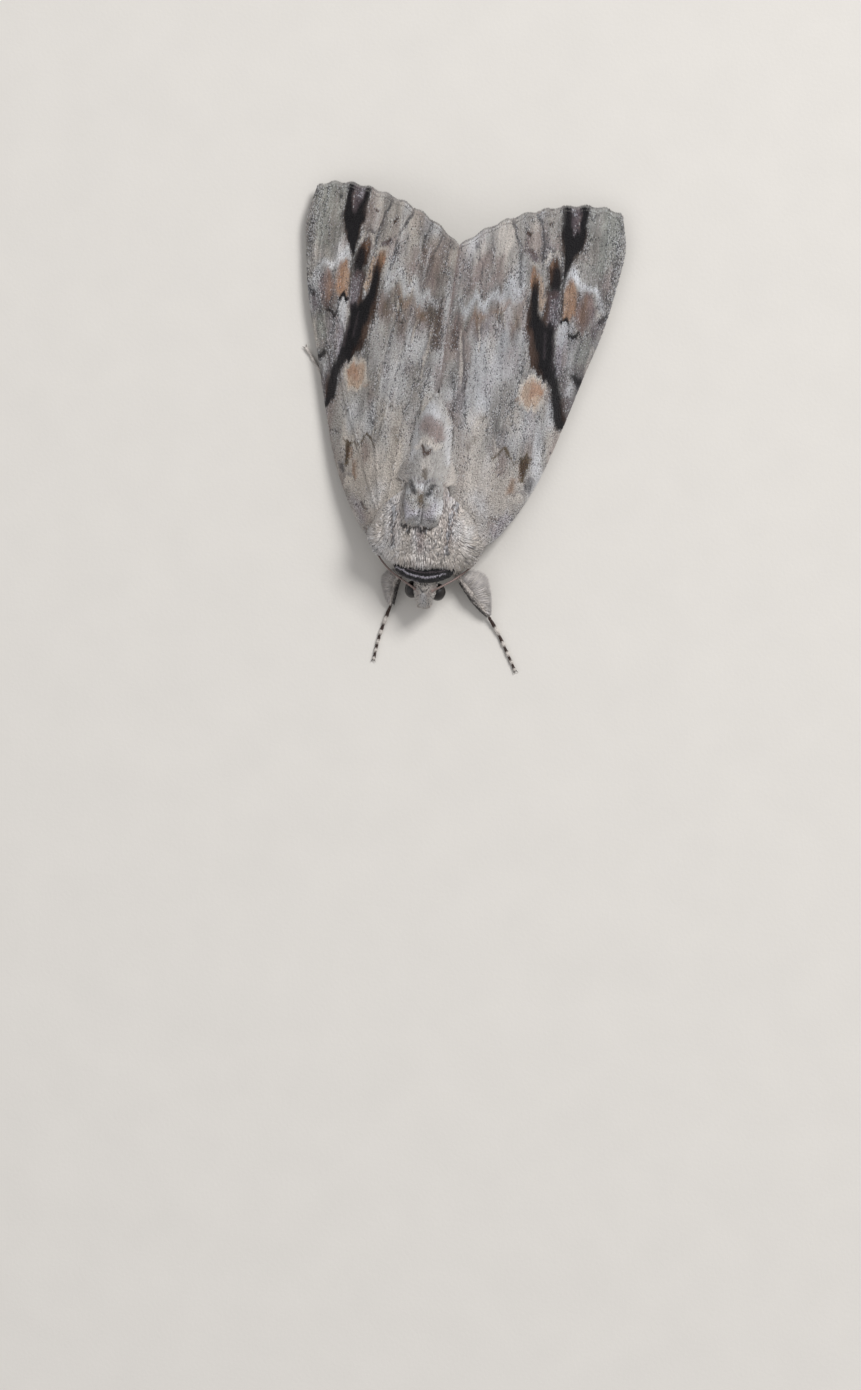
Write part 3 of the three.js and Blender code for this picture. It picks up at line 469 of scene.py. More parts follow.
# Marks of the thorax and of the back between the wings, as they look from above.
BACK_MARKS = (
    ("bone", 2, 0.6, ((-4.6, 3.6, 0.8), (0, 3.2, 0.8), (4.4, 3.8, 0.8))),
    ("slate", 0.9, 0.35, ((-2.3, 3.6, 0.3), (-2.1, 4.6, 0.3))),
    ("rose", 0.9, 0.8, ((3.2, 10.3, 0.25), (2.45, 8.75, 0.35), (2.2, 7.2, 0.3), (2.2, 4.4, 0.24))),
    ("olive", 0.4, 0.55, ((3.2, 10.3, 0.1), (2.45, 8.75, 0.16), (2.2, 7.2, 0.1), (2.2, 4.4, 0.1))),
    ("rose", 0.9, 0.8, ((-4.9, 9.75, 0.25), (-4.05, 8.2, 0.35), (-4.15, 5.9, 0.28), (-3.8, 4.4, 0.24))),
    ("olive", 0.4, 0.55, ((-4.9, 9.75, 0.1), (-4.05, 8.2, 0.16), (-4.15, 5.9, 0.1), (-3.8, 4.4, 0.1))),
    ("rose", 1.2, 0.6, ((-0.9, 5.9, 0.5), (-0.6, 4.4, 0.4))),
    ("plum", 0.8, 0.5, ((6.3, 5.2, 0.15), (6.7, 6.2, 0.2))),
    # painted shadow under the front edge of the crest's two lobes
    ("ink", 0.35, 0.9, ((-3.1, 6.8, 0.18), (-2.3, 6.1, 0.24), (-1.4, 6.6, 0.18), (-0.5, 6.1, 0.24),
                        (0.4, 6.8, 0.18))),
    ("slate", 0.6, 0.4, ((1, 10.6, 0.2), (1.6, 11.6, 0.25))),
    ("slate", 0.6, 0.55, ((-3.25, 7.2, 0.16), (-3.35, 9.4, 0.2), (-3.2, 11.2, 0.2))),
    ("plum", 0.8, 0.45, ((1, 8.4, 0.3), (1.5, 10.2, 0.5))),
    # the opening between the wings
    ("ash", 2, 0.9, ((-1, 24, 1.2), (-0.9, 13, 2.2))),
    ("frost", 1.4, 0.7, ((-1.2, 20.6, 0.6), (-1.1, 19.6, 0.9))),
    ("beige", 1, 0.7, ((-3.4, 12.4, 0.8), (-3.1, 14.6, 0.5))),
    ("beige", 1, 0.7, ((1.7, 12.4, 0.8), (1.5, 14.6, 0.5))),
    ("frost", 0.8, 0.5, ((-2.2, 18.6, 0.3), (-2.4, 14.6, 0.3))),
    ("frost", 0.8, 0.5, ((0.4, 18.6, 0.3), (0.6, 14.6, 0.3))),
    ("rose", 0.9, 0.7, ((-1.2, 18.6, 0.9), (-0.6, 17.4, 0.8))),
    ("bone", 0.5, 0.9, ((-2, 16.1, 0.3), (-1.2, 16.9, 0.34), (-0.3, 16.2, 0.3))),
    ("umber", 0.35, 0.9, ((-1.65, 15.9, 0.16), (-1.2, 15.2, 0.26), (-0.95, 15.9, 0.16))),
    ("bone", 0.7, 0.6, ((-1.2, 14.6, 0.4), (-1.1, 13.8, 0.4))),
    ("olive", 0.4, 0.7, ((-1.15, 13.4, 0.14), (-1.1, 12.6, 0.16))),
    ("slate", 0.5, 0.5, ((0.6, 22, 0.1), (0.9, 20, 0.1), (1.3, 17, 0.12), (1.7, 14.5, 0.12),
                         (1.9, 12.5, 0.1))),
    ("slate", 0.5, 0.5, ((-2.7, 21, 0.1), (-3.1, 18.5, 0.1), (-3.3, 16, 0.1), (-3.4, 13.5, 0.1))),
)
# Lines along which dark specks crowd on the thorax and beside the opening.
SPECK_LINES = (
    ((3.2, 10.3, 0.2), (2.45, 8.75, 0.3), (2.2, 7.2, 0.22), (2.2, 4.6, 0.2), (2.3, 3.9, 0.2)),
    ((-4.9, 9.75, 0.2), (-4.05, 8.2, 0.28), (-4.15, 5.9, 0.2), (-3.8, 4, 0.2)),
    ((-2.4, 20.4, 0.25), (-3, 17, 0.3), (-3.1, 15.4, 0.2)),
    ((0.7, 20.4, 0.25), (1.35, 17, 0.3), (1.5, 15.4, 0.2)),
)
# Marks of the crest's two lobes.
CREST_MARKS = (
    ("slate", 0.6, 0.35, ((-3.3, 9.2, 0.2), (-3.2, 10.8, 0.2))),
    ("slate", 0.6, 0.35, ((0.4, 9.2, 0.2), (0.4, 10.8, 0.2))),
    ("lilac", 0.9, 0.6, ((-3, 8.8, 0.3), (-2.4, 7.6, 0.5), (-1.8, 7.8, 0.3))),
    ("lilac", 0.9, 0.6, ((-0.9, 7.8, 0.3), (-0.3, 7.6, 0.5), (0.3, 8.8, 0.3))),
    ("olive", 0.5, 0.9, ((-1.35, 9.8, 0.3), (-1.3, 8.9, 0.36), (-1.35, 8.3, 0.14))),
    ("slate", 0.3, 0.8, ((-1.35, 8.1, 0.1), (-1.35, 7.3, 0.1))),
    ("ink", 0.5, 0.85, ((-2.8, 11, 0.24), (-2.2, 10.1, 0.34))),
    ("ink", 0.5, 0.85, ((-0.1, 11, 0.24), (-0.55, 10, 0.34))),
    ("plum", 0.4, 0.6, ((-2.8, 11.6, 0.12), (-1.4, 11.1, 0.16), (-0.1, 11.6, 0.12))),
    ("frost", 0.4, 0.5, ((-1.4, 9.9, 0.08), (-1.4, 10.9, 0.1))),
)
TOOTH = 1.8  # width of one tooth of the pale band


def wing_tint(points, side, colours):
    """Ground and marks of a forewing's upper side, and how densely it is speckled."""
    x, y = np.abs(points[:, 0]), points[:, 1]
    seed = 5 if side > 0 else 8
    paint = Paint(x, y, colours.ash, seed, ragged=0.16)
    paint.lay(0.7 * smooth(0.0, 0.7, grain(x, y, 1.5, 4.2, seed)), colours.bone)
    paint.lay(0.7 * smooth(0.0, 0.7, grain(x, y, 1.2, 4.6, seed + 1)), colours.frost)
    paint.lay(0.5 * smooth(0.1, 0.8, grain(x, y, 1.3, 3.4, seed + 2)), colours.rose)
    paint.lay(0.32 * smooth(0.1, 0.8, grain(x, y, 0.5, 2.6, seed + 4)), colours.slate)
    vein = in_strokes(paint.x, paint.y, VEINS, 0.4)
    vein = vein * smooth(-0.5, 0.4, grain(x, y, 0.4, 1.7, seed + 6))
    paint.lay((0.3 + 0.25 * smooth(34, 40, y)) * vein, colours.slate)
    tooth = np.abs(2 * np.mod(x / TOOTH, 1.0) - 1) + 0.4 * grain(x, y, 0.8, 30, seed + 14)
    paint.y += 1.3 * (tooth - 0.5) * smooth(26, 29, y) * smooth(38, 35, y) * smooth(9.2, 7.8, x)
    paint.marks(WING_MARKS, colours)
    if side < 0:
        paint.marks(RIGHT_WING_MARKS, colours)
    paint.lay(0.45 * smooth(0.3, 0.05, x) * smooth(24, 27, y), colours.rose)
    light = paint.colour.mean(axis=1)
    streak = smooth(0.1, 0.8, grain(x, y, 0.16, 1.5, seed + 7))
    paint.lay(0.3 * streak * smooth(0.5, 0.2, light), colours.ink)
    coarse = 0.12 + 0.1 * smooth(26, 34, y) + 0.16 * smooth(12, 13.5, x) * smooth(24, 27, y)
    shade = 1 + 0.1 * grain(x, y, 0.22, 1.8, seed + 9) + coarse * grain(x, y, 1.0, 2.2, seed + 10)
    shade = shade * (1 - 0.07 * smooth(15, 20, y))
    if side > 0:
        shade = shade * (1 + 0.16 * smooth(7.0, 3.5, x) * smooth(33, 35, y))
        shade = shade * (1 - 0.07 * smooth(11.6, 12.4, x) * smooth(24, 26, y) * smooth(32, 30, y))
    else:
        # The right forewing is painted lighter at its base, darker on its inner rear part, lighter along
        # its outer front part, and warmer; part of this darkening and warmth is painted shade of the side
        # that lies away from the light.
        shade = shade * (1.05 - 0.13 * smooth(11, 18, y) * (1 - 1.25 * smooth(8.5, 11.5, x)))
        paint.colour *= (1.0, 0.985, 0.955)
    patchy = smooth(-0.4, 0.5, grain(x, y, 1.2, 2.4, seed + 12))
    dotted = smooth(-0.2, 0.5, grain(x, y, 0.3, 0.9, seed + 13))
    border = smooth(0.9, 0.2, 17.4 - x) * smooth(30, 34, y)
    speckle = 0.03 + 0.3 * patchy * dotted + 0.3 * vein + 0.25 * border
    speckle = speckle * (1 - 0.4 * smooth(17, 12, y)) + 0.3 * paint.spray
    warm = smooth(0.02, 0.12, paint.colour[:, 0] - paint.colour[:, 2])
    speckle = speckle * smooth(0.04, 0.2, light) * smooth(0.75, 0.5, light) * (1 - 0.7 * warm)
    return paint.colour * shade[:, None], speckle


def mix_in(colour, chosen, keep, tone, low, high, rng):
    """Leaves the chosen scales a share of their colour; the rest is a tone of uneven brightness."""
    bright = rng.uniform(low, high, chosen.sum())[:, None]
    colour[chosen] = colour[chosen] * keep + (1 - keep) * np.array(tone) * bright


def speckled(colour, speckle, colours, rng):
    """Gives single scales a dark, pale or mixed colour of their own."""
    draw = rng.random(len(colour))
    dark, pale = draw < speckle, draw > 1 - 0.9 * speckle
    colour = colour.copy()
    mix_in(colour, dark, 0.2, colours.slate, 0.3, 1.2, rng)
    mix_in(colour, pale, 0.6, colours.frost, 0.95, 1.25, rng)
    stray = rng.random(len(colour)) < 0.07 * smooth(0.03, 0.15, colour.mean(axis=1))
    mix_in(colour, stray, 0.6, colours.rose, 0.4, 1.2, rng)
    return colour * rng.uniform(0.88, 1.1, len(colour))[:, None]


def back_speckle(points):
    """How densely the thorax and the back are speckled."""
    x, y = seen(points)
    lines = in_strokes(x + 0.15 * grain(x, y, 0.4, 0.7, 15), y, SPECK_LINES, 0.5)
    dotted = smooth(-0.5, 0.3, grain(x, y, 0.35, 0.8, 16))
    return 0.03 + 0.1 * smooth(0.0, 0.6, grain(x, y, 0.8, 1.3, 17)) + 0.85 * lines * dotted


def body_tint(points, colours):
    """Coat colours of the whole body."""
    x, y = seen(points)
    z = points[:, 2]
    paint = Paint(x, y, colours.beige, seed=3, ragged=0.14)
    paint.lay(0.5 * smooth(0.0, 0.8, grain(x, y, 0.9, 2.4, 2)), colours.bone)
    paint.lay(0.5 * smooth(-0.3, 0.8, grain(x, y, 1.1, 2.8, 4)), colours.frost)
    paint.lay(0.3 * smooth(0.2, 0.9, grain(x, y, 0.35, 1.6, 6)), colours.rose)
    paint.marks(BACK_MARKS, colours)
    outer = smooth(2.6, 5.0, np.abs(x)) * smooth(12.5, 10.0, y)
    paint.lay(0.45 * outer, colours.bone)
    paint.lay(0.5 * outer * smooth(-0.3, 0.6, grain(x, y, 1.0, 1.6, 12)), colours.frost)
    below = smooth(3.6, 2.6, z) * smooth(1.5, 3.0, y)
    paint.lay(0.8 * below, colours.beige)
    rear = smooth(22, 25, y)
    ring = 0.5 + 0.5 * np.cos((y - ABDOMEN_FRONT) / ABDOMEN_RING * 2 * math.pi)
    paint.lay(0.75 * rear, colours.rose)
    paint.lay(0.5 * rear * ring**3, colours.bone)
    return paint.colour * (1 + 0.12 * grain(x, y, 0.2, 1.5, 9))[:, None]


# ---- Meshes ----


TO_PART = Matrix.Scale(MM, 4) @ Matrix.Translation(-Vector(BODY_ORIGIN))  # does what placed() does


def piece_from(name, mesh, material, slot, *nodes):
    """Puts a finished mesh in the scene as a piece that stands for CAD nodes."""
    piece = bpy.data.objects.new(name, mesh)
    bpy.context.scene.collection.objects.link(piece)
    mesh.materials.clear()
    mesh.materials.append(material)
    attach(piece, "root")
    if nodes:
        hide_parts(*nodes)
    return piece


def smooth_faces(mesh):
    """Shades all of a mesh smoothly."""
    mesh.polygons.foreach_set("use_smooth", np.ones(len(mesh.polygons), bool))


def tint_mesh(mesh, colour):
    """Stores one colour for each vertex."""
    shade = np.ones((len(mesh.vertices), 4), np.float32)
    shade[:, :3] = np.clip(colour, 0, 1)
    layer = mesh.attributes.new("Tint", "FLOAT_COLOR", "POINT")
    layer.data.foreach_set("color", shade.ravel())


def vertex_vectors(mesh, kind):
    """One vector for each vertex of a mesh: its place, "co", or its "normal"."""
    vectors = np.zeros(len(mesh.vertices) * 3, np.float32)
    mesh.vertices.foreach_get(kind, vectors)
    return vectors.reshape(-1, 3).astype(float)


def body_points(mesh):
    """A mesh's vertices in body-frame millimetres."""
    return vertex_vectors(mesh, "co") / MM + BODY_ORIGIN


def mesh_from_shape(name, shape, in_place=False):
    """A mesh from a bmesh modelled in body-frame millimetres, normals outwards."""
    bmesh.ops.remove_doubles(shape, verts=shape.verts, dist=1e-5)
    bmesh.ops.recalc_face_normals(shape, faces=shape.faces)
    mesh = bpy.data.meshes.new(name)
    shape.to_mesh(mesh)
    shape.free()
    if not in_place:
        mesh.transform(TO_PART)
    smooth_faces(mesh)
    return mesh


def loft(shape, rings):
    """Skins rings of equally many points by extruding an edge loop, and closes both ends."""
    def edges():
        """Edges of the present loop."""
        return [shape.edges.get(pair) for pair in zip(loop, loop[1:] + loop[:1])]

    loop = bmesh.ops.create_circle(shape, cap_ends=True, segments=len(rings[0]), radius=1.0)["verts"]
    for vert, point in zip(loop, rings[0]):
        vert.co = point
    for ring in rings[1:]:
        grown = bmesh.ops.extrude_edge_only(shape, edges=edges())["geom"]
        fresh = {g for g in grown if isinstance(g, bmesh.types.BMVert)}
        loop = [next(e.other_vert(v) for e in v.link_edges if e.other_vert(v) in fresh) for v in loop]
        for vert, point in zip(loop, ring):
            vert.co = point
    bmesh.ops.edgeloop_fill(shape, edges=edges())


def tube(shape, path, radius, steps, sides):
    """A tube along a curve through path; radius(share) gives its radii."""
    share = np.linspace(0, 1, steps + 1)
    centre, _, side, over = course(path, share)
    size = radius(share)
    turn = np.linspace(0, 2 * math.pi, sides, endpoint=False)
    rings = [c + r * (np.cos(turn)[:, None] * s + np.sin(turn)[:, None] * o)
             for c, r, s, o in zip(centre, size, side, over)]
    loft(shape, rings)


def stretched(centre, radii):
    """Turns a ball of radius one at the origin into an ellipsoid."""
    return Matrix.Translation(centre) @ Matrix.Diagonal((*radii, 1.0))


def section(y, x, low, high, half, sides=36, power=2.3, widest=0.4):
    """A rounded outline across the body between two heights, widest below the middle."""
    turn = np.linspace(0, 2 * math.pi, sides, endpoint=False)
    c, s = np.cos(turn), np.sin(turn)
    middle = low + (high - low) * widest
    px = np.sign(c) * np.abs(c) ** (2 / power) * half
    pz = np.sign(s) * np.abs(s) ** (2 / power) * np.where(s > 0, high - middle, middle - low)
    return columns(x + px, y, middle + pz)


def body_loft(shape, rows, inset, steps):
    """A smooth body through rows of (y, x, low, high, half width), drawn in by inset."""
    rows = spline(rows, np.linspace(0, 1, steps))
    loft(shape, [section(y, x, low + inset, high - inset, max(0.1, half - inset))
                 for y, x, low, high, half in rows])


# ---- Locks, tufts and scales ----


def blade_form(outline, ridge):
    """A flat lock: its outline from the root round by the right, under one ridge point."""
    count = len(outline)
    corners = [(along, across, 0.0) for along, across in outline] + [(ridge, 0.0, 1.0)]
    faces = [(i, (i + 1) % count, count) for i in range(count)]
    faces += [(0, i + 1, i) for i in range(1, count - 1)]
    return np.array(corners), np.array(faces)


def spike_form(rings):
    """A three-sided lock: rings of (share of length, half width, thickness), then its tip."""
    corners, faces = [], [(0, 1, 2)]
    for along, wide, deep in rings:
        corners += [(along, -wide, 0.0), (along, wide, 0.0), (along, 0.0, deep)]
    last = 3 * (len(rings) - 1)
    for k in range(0, last, 3):
        faces += [(k, k + 3, k + 4), (k, k + 4, k + 1), (k + 1, k + 4, k + 5), (k + 1, k + 5, k + 2),
                  (k + 2, k + 5, k + 3), (k + 2, k + 3, k)]
    corners.append((1.0, 0.0, 0.0))
    faces += [(last, last + 3, last + 1), (last + 1, last + 3, last + 2), (last + 2, last + 3, last)]
    return np.array(corners), np.array(faces)


SCALE = blade_form(((0, 0), (0.65, 1), (1, 0), (0.65, -1)), 0.6)
BLADE = blade_form(((0, 0), (0.5, 1), (0.95, 0.55), (0.95, -0.55), (0.5, -1)), 0.55)
HAIR = spike_form(((0, 0.6, 1), (0.5, 1, 0.8)))


class Coat:
    """Many closed locks gathered as arrays and joined into one mesh."""

    PATCH = 0.0013  # half of a lock's patch on the OFBake map
    # painted light and shade: a lock's colour is painted lighter at its tip and darker towards its root
    TIP_PAINTED_LIGHT = 1.05  # brightness of a lock's tip
    CLEAR = 0.01  # least height of a lock over the floor

    def __init__(self, side=1):
        self.flip = np.array([side, 1, 1])  # mirrors what is worked out on the left side
        self.points, self.faces, self.tints, self.maps = [], [], [], []
        self.size = 0

    def add(self, root, ahead, over, length, width, colour, where, thick=0.05, lift=0.0, bend=0.0,
            form=HAIR, root_shade=0.8):
        """Adds locks: each leaves root along ahead, rises by lift and bend of its length, and has
        its patch of the bake map at where. Its colour is painted darker towards the root, as painted
        shade deep in the coat, and a little lighter at the tip, as painted light."""
        count = len(root)
        length, width, thick, lift, bend = (
            np.broadcast_to(value, count) for value in (length, width, thick, lift, bend))
        root, ahead, over = root * self.flip, unit(ahead * self.flip), over * self.flip
        side = unit(np.cross(ahead, over))
        up = np.cross(side, ahead)
        corners, faces = form
        points, shades, patches = [], [], []
        for along, across, deep in corners:
            rise = length * (lift * along + bend * along**2) + thick * deep
            points.append(root + ahead * (length * along)[:, None] + side * (width / 2 * across)[:, None]
                          + up * rise[:, None])
            # painted shade darkens each lock towards its root; painted light brightens its tip
            shades.append(root_shade + (self.TIP_PAINTED_LIGHT - root_shade) * min(1.0, 1.5 * along))
            patches.append((across * self.PATCH, (2 * along - 1) * self.PATCH))
        points = np.stack(points, axis=1)
        points[..., 2] = np.maximum(points[..., 2], self.CLEAR)
        self.points.append(points.reshape(-1, 3))
        self.tints.append((colour[:, None] * np.array(shades)[None, :, None]).reshape(-1, 3))
        self.maps.append((where[:, None] + np.array(patches)[None]).reshape(-1, 2))
        starts = self.size + len(corners) * np.arange(count)
        self.faces.append((starts[:, None, None] + faces[None]).reshape(-1, 3))
        self.size += len(corners) * count

    def piece(self, name, material, slot):
        """Joins the locks into one piece."""
        points, faces = placed(np.concatenate(self.points)), np.concatenate(self.faces)
        mesh = bpy.data.meshes.new(name)
        mesh.vertices.add(len(points))
        mesh.vertices.foreach_set("co", points.astype(np.float32).ravel())
        mesh.loops.add(faces.size)
        mesh.loops.foreach_set("vertex_index", faces.astype(np.int32).ravel())
        mesh.polygons.add(len(faces))
        mesh.polygons.foreach_set("loop_start", np.arange(0, faces.size, 3, dtype=np.int32))
        mesh.update(calc_edges=True)
        smooth_faces(mesh)
        tint_mesh(mesh, np.concatenate(self.tints))
        bake_map = mesh.uv_layers.new(name="OFBake")
        places = np.concatenate(self.maps)[faces.ravel()]
        bake_map.data.foreach_set("uv", places.astype(np.float32).ravel())
        piece_from(name, mesh, material, slot)


def scatter(mesh, count, share, seed):
    """Random places on a mesh, their normals and the generator; share(points) thins them out."""
    rng = np.random.default_rng(seed)
    mesh.calc_loop_triangles()
    corners = np.zeros(len(mesh.loop_triangles) * 3, np.int32)
    mesh.loop_triangles.foreach_get("vertices", corners)
    corners = corners.reshape(-1, 3)
    points, normals = body_points(mesh), vertex_vectors(mesh, "normal")
    a, b, c = (points[corners[:, k]] for k in range(3))
    area = np.linalg.norm(np.cross(b - a, c - a), axis=1)
    weight = area * share((a + b + c) / 3)
    picked = corners[rng.choice(len(area), count, p=weight / weight.sum())]
    u, v = rng.random(count), rng.random(count)
    over = u + v > 1
    u[over], v[over] = 1 - u[over], 1 - v[over]
    mix = columns(1 - u - v, u, v)[..., None]
    return (points[picked] * mix).sum(axis=1), unit((normals[picked] * mix).sum(axis=1)), rng


def on_map(share, edge=0.006):
    """A share of the bake map's width or height, held clear of its edges."""
    return edge + (1 - 2 * edge) * share


AXIS_HEIGHT = 3.6  # height of the body's long axis
MAP_FRONT, MAP_LENGTH = -4.0, 43.0  # stretch of the body's length that fills the bake map


def girdle_map(points):
    """Unwrap of the body's own shape: turn about its long axis, and place along it."""
    turn = np.arctan2(points[:, 0], points[:, 2] - AXIS_HEIGHT) / (2 * math.pi) + 0.5
    along = np.clip((points[:, 1] - MAP_FRONT) / MAP_LENGTH, 0, 1)
    return columns(on_map(turn, 0.004), on_map(along, 0.004))


def lying(direction, normal, stand):
    """A direction laid on the surface, then raised towards its normal by stand."""
    flat = direction - normal * (direction * normal).sum(axis=1, keepdims=True)
    return unit(unit(flat) + normal * np.broadcast_to(stand, len(normal))[:, None])


# ---- Materials ----


def add_node(tree, kind, inputs, **options):
    """A new shader node: first its options, then its inputs, as values or other nodes' outputs."""
    node = tree.nodes.new("ShaderNode" + kind)
    for name, value in options.items():
        setattr(node, name, value)
    feed(tree, node, inputs)
    return node


def feed(tree, node, inputs):
    """Sets or links a node's inputs."""
    for name, value in inputs.items():
        if isinstance(value, bpy.types.NodeSocket):
            tree.links.new(value, node.inputs[name])
        else:
            node.inputs[name].default_value = value


def shaded(name, roughness, *, sheen=0.0, specular=0.3, fleck=0.16, fleck_size=0.12, stretch=1.0,
           relief=0.3, relief_size=0.03, colour=None, coat=0.0, cells=False):
    """A procedural finish: tint with fine flecks, and a bump of fine streaks or cells. Sizes are in
    millimetres; stretch lengthens the streaks along the body."""
    material = bpy.data.materials.new(name)
    material.use_nodes = True
    tree = material.node_tree
    place = add_node(tree, "TexCoord", {}).outputs["Object"]
    spread = add_node(tree, "Mapping", {"Scale": (1.0, 1.0 / stretch, 1.0), "Vector": place})
    vector = spread.outputs["Vector"]
    flecks = add_node(tree, "TexNoise", {"Scale": 1 / (fleck_size * MM), "Detail": 4.0, "Vector": vector})
    shade, dull = (
        add_node(tree, "MapRange", {"From Min": 0.3, "From Max": 0.7, "To Min": low, "To Max": high,
                                    "Value": flecks.outputs["Fac"]}).outputs["Result"]
        for low, high in ((1 - fleck, 1 + fleck), (roughness - 0.08, roughness + 0.08)))
    if colour is None:
        ground = add_node(tree, "Attribute", {}, attribute_name="Tint").outputs["Color"]
    else:
        ground = (*colour, 1.0)
    mix = add_node(tree, "Mix", {"Factor": 1.0, "A": ground, "B": shade}, data_type="RGBA",
                   blend_type="MULTIPLY")
    grit = {"Scale": 1 / (relief_size * MM), "Vector": vector}
    if cells:
        height = add_node(tree, "TexVoronoi", grit).outputs["Distance"]
    else:
        height = add_node(tree, "TexNoise", {**grit, "Detail": 3.0}).outputs["Fac"]
    bump = add_node(tree, "Bump", {"Strength": relief, "Distance": relief_size * MM, "Height": height},
                    invert=cells)
    feed(tree, tree.nodes["Principled BSDF"], {
        "Base Color": mix.outputs["Result"], "Roughness": dull, "Normal": bump.outputs["Normal"],
        "Specular IOR Level": specular, "Sheen Weight": sheen, "Coat Weight": coat})
    return material


# ---- Forewings ----

# Front edge of the folded forewing, and its inner edge, which meets the other wing's sooner than in
# the solids, because hair and scales close the gap there.
COSTA = ((6.65, 5.3, 3.6), (8.3, 7.3, 2.65), (11.2, 12.7, 1.8), (13.4, 19.5, 1.45), (15.1, 25.7, 1.38),
         (16.7, 31.2, 1.36), (17.75, 37.2, 1.36), (18.05, 40.6, 1.38), (17.35, 44, 1.42))
INNER = ((3.5, 7.4, 5.7), (2.75, 10.4, 7), (2.3, 14, 7.6), (1.95, 18.1, 7.45), (0.4, 20.9, 7.15),
         (0.06, 25, 6.75), (0.02, 31.5, 6.1), (0.02, 38.2, 5.05))
MARGIN_BULGE = 2.2  # how far the outer margin bows back
ARCH = 1.35  # power of the wing's fall from its inner to its front edge
SCALLOPS = 8  # along the outer margin
WING_GRID = (110, 230)  # cells across and along a forewing
SCALE_GRID = (420, 150)  # cells along and across a forewing in which its scales are spread
HALF_WING = 0.56  # share of a wing's length at which one half of its scales ends
# Short scales along the front and the inner edge: the strip of t they root in, their number and how
# far they turn outwards.
EDGE_SCALES = ((0.985, 1.0, 2600, 0.5), (0.0, 0.006, 2200, -0.35))


def wing_surface(s, t, vein_height=0.0):
    """Upper surface of the left forewing: s from base to margin, t from inner to front edge."""
    inner, front = spline(INNER, s), spline(COSTA, s)
    bow = MARGIN_BULGE * (1 - np.abs(2 * t - 1) ** 2.4) * s**3
    x = inner[..., 0] + (front[..., 0] - inner[..., 0]) * t
    y = inner[..., 1] + (front[..., 1] - inner[..., 1]) * t + bow
    z = inner[..., 2] + (front[..., 2] - inner[..., 2]) * np.clip(t, 0, 1) ** ARCH
    if vein_height:
        z = z + vein_height * in_strokes(x, y, VEINS, 0.26)
        z = z + 0.3 * vein_height * grain(x, y, 1.1, 5.0, 3)
    scallop = 0.14 * np.cos((t - 0.02) * 2 * math.pi * SCALLOPS) * smooth(0.96, 1.0, s)
    return columns(x, y + scallop, z)


def veined_surface(sizes):
    """The forewing's surface with its veins raised."""
    return lambda s, t: wing_surface(s, t, sizes.vein_height / MM)


def wing_axes(s, t, surface, step=0.004):
    """Unit directions on a wing: towards the margin, and out of its upper side."""
    along = surface(np.clip(s + step, 0, 1), t) - surface(np.clip(s - step, 0, 1), t)
    across = surface(s, np.clip(t + step, 0, 1)) - surface(s, np.clip(t - step, 0, 1))
    return unit(along), unit(np.cross(across, along))


def under_tint(points, colours):
    """Underside of a forewing: pale base, black bands, white band, dusky border."""
    x, y = np.abs(points[:, 0]), points[:, 1]
    paint = Paint(x, y, colours.rose, seed=2, ragged=0.3)
    paint.lay(smooth(20, 23, y) * smooth(29, 27.5, y - 0.12 * x), colours.soot)
    paint.lay(smooth(29, 30, y - 0.12 * x) * smooth(33.5, 32.5, y - 0.12 * x), colours.bone)
    paint.lay(smooth(32.5, 33.5, y - 0.12 * x), colours.soot)
    paint.lay(0.5 * smooth(40, 43.5, y - 0.08 * x), colours.plum)
    return paint.colour


def wing_mesh(name, surface, cells, thick, side):
    """A wing's membrane: a grid laid on its surface and given its thickness downwards."""
    shape = bmesh.new()
    bmesh.ops.create_grid(shape, x_segments=cells[0], y_segments=cells[1], size=0.5)
    flat = np.array([v.co for v in shape.verts])
    t, s = flat[:, 0] + 0.5, flat[:, 1] + 0.5
    points = surface(s, t)
    points[:, 0] *= side
    for vert, point in zip(shape.verts, points):
        vert.co = point
    bmesh.ops.recalc_face_normals(shape, faces=shape.faces)
    top = sum(f.normal.z for f in shape.faces)
    if top < 0:
        bmesh.ops.reverse_faces(shape, faces=shape.faces)
    bmesh.ops.solidify(shape, geom=shape.faces[:], thickness=thick)
    return mesh_from_shape(name, shape)


class MOTH_OT_forewings(bpy.types.Operator):
    """Folded forewings: veined membranes with the ground and marks of both sides"""

    bl_idname = "moth.forewings"
    bl_label = "Forewings"

    def execute(self, context):
        sizes, colours = settings(context)
        finish = shaded("Forewing membrane", 0.75, fleck=0.2, stretch=3.0, relief_size=0.05)
        surface = veined_surface(sizes)
        for word, side in SIDES:
            name = "forewing_skin_" + word
            mesh = wing_mesh(name, surface, WING_GRID, sizes.membrane / MM, side)
            points = body_points(mesh)
            top, _ = wing_tint(points, side, colours)
            upper = vertex_vectors(mesh, "normal")[:, 2:] > 0
            tint_mesh(mesh, np.where(upper, top * 0.8, under_tint(points, colours)))
            piece_from(name, mesh, finish, "forewing", "forewing_" + word)
        return {"FINISHED"}


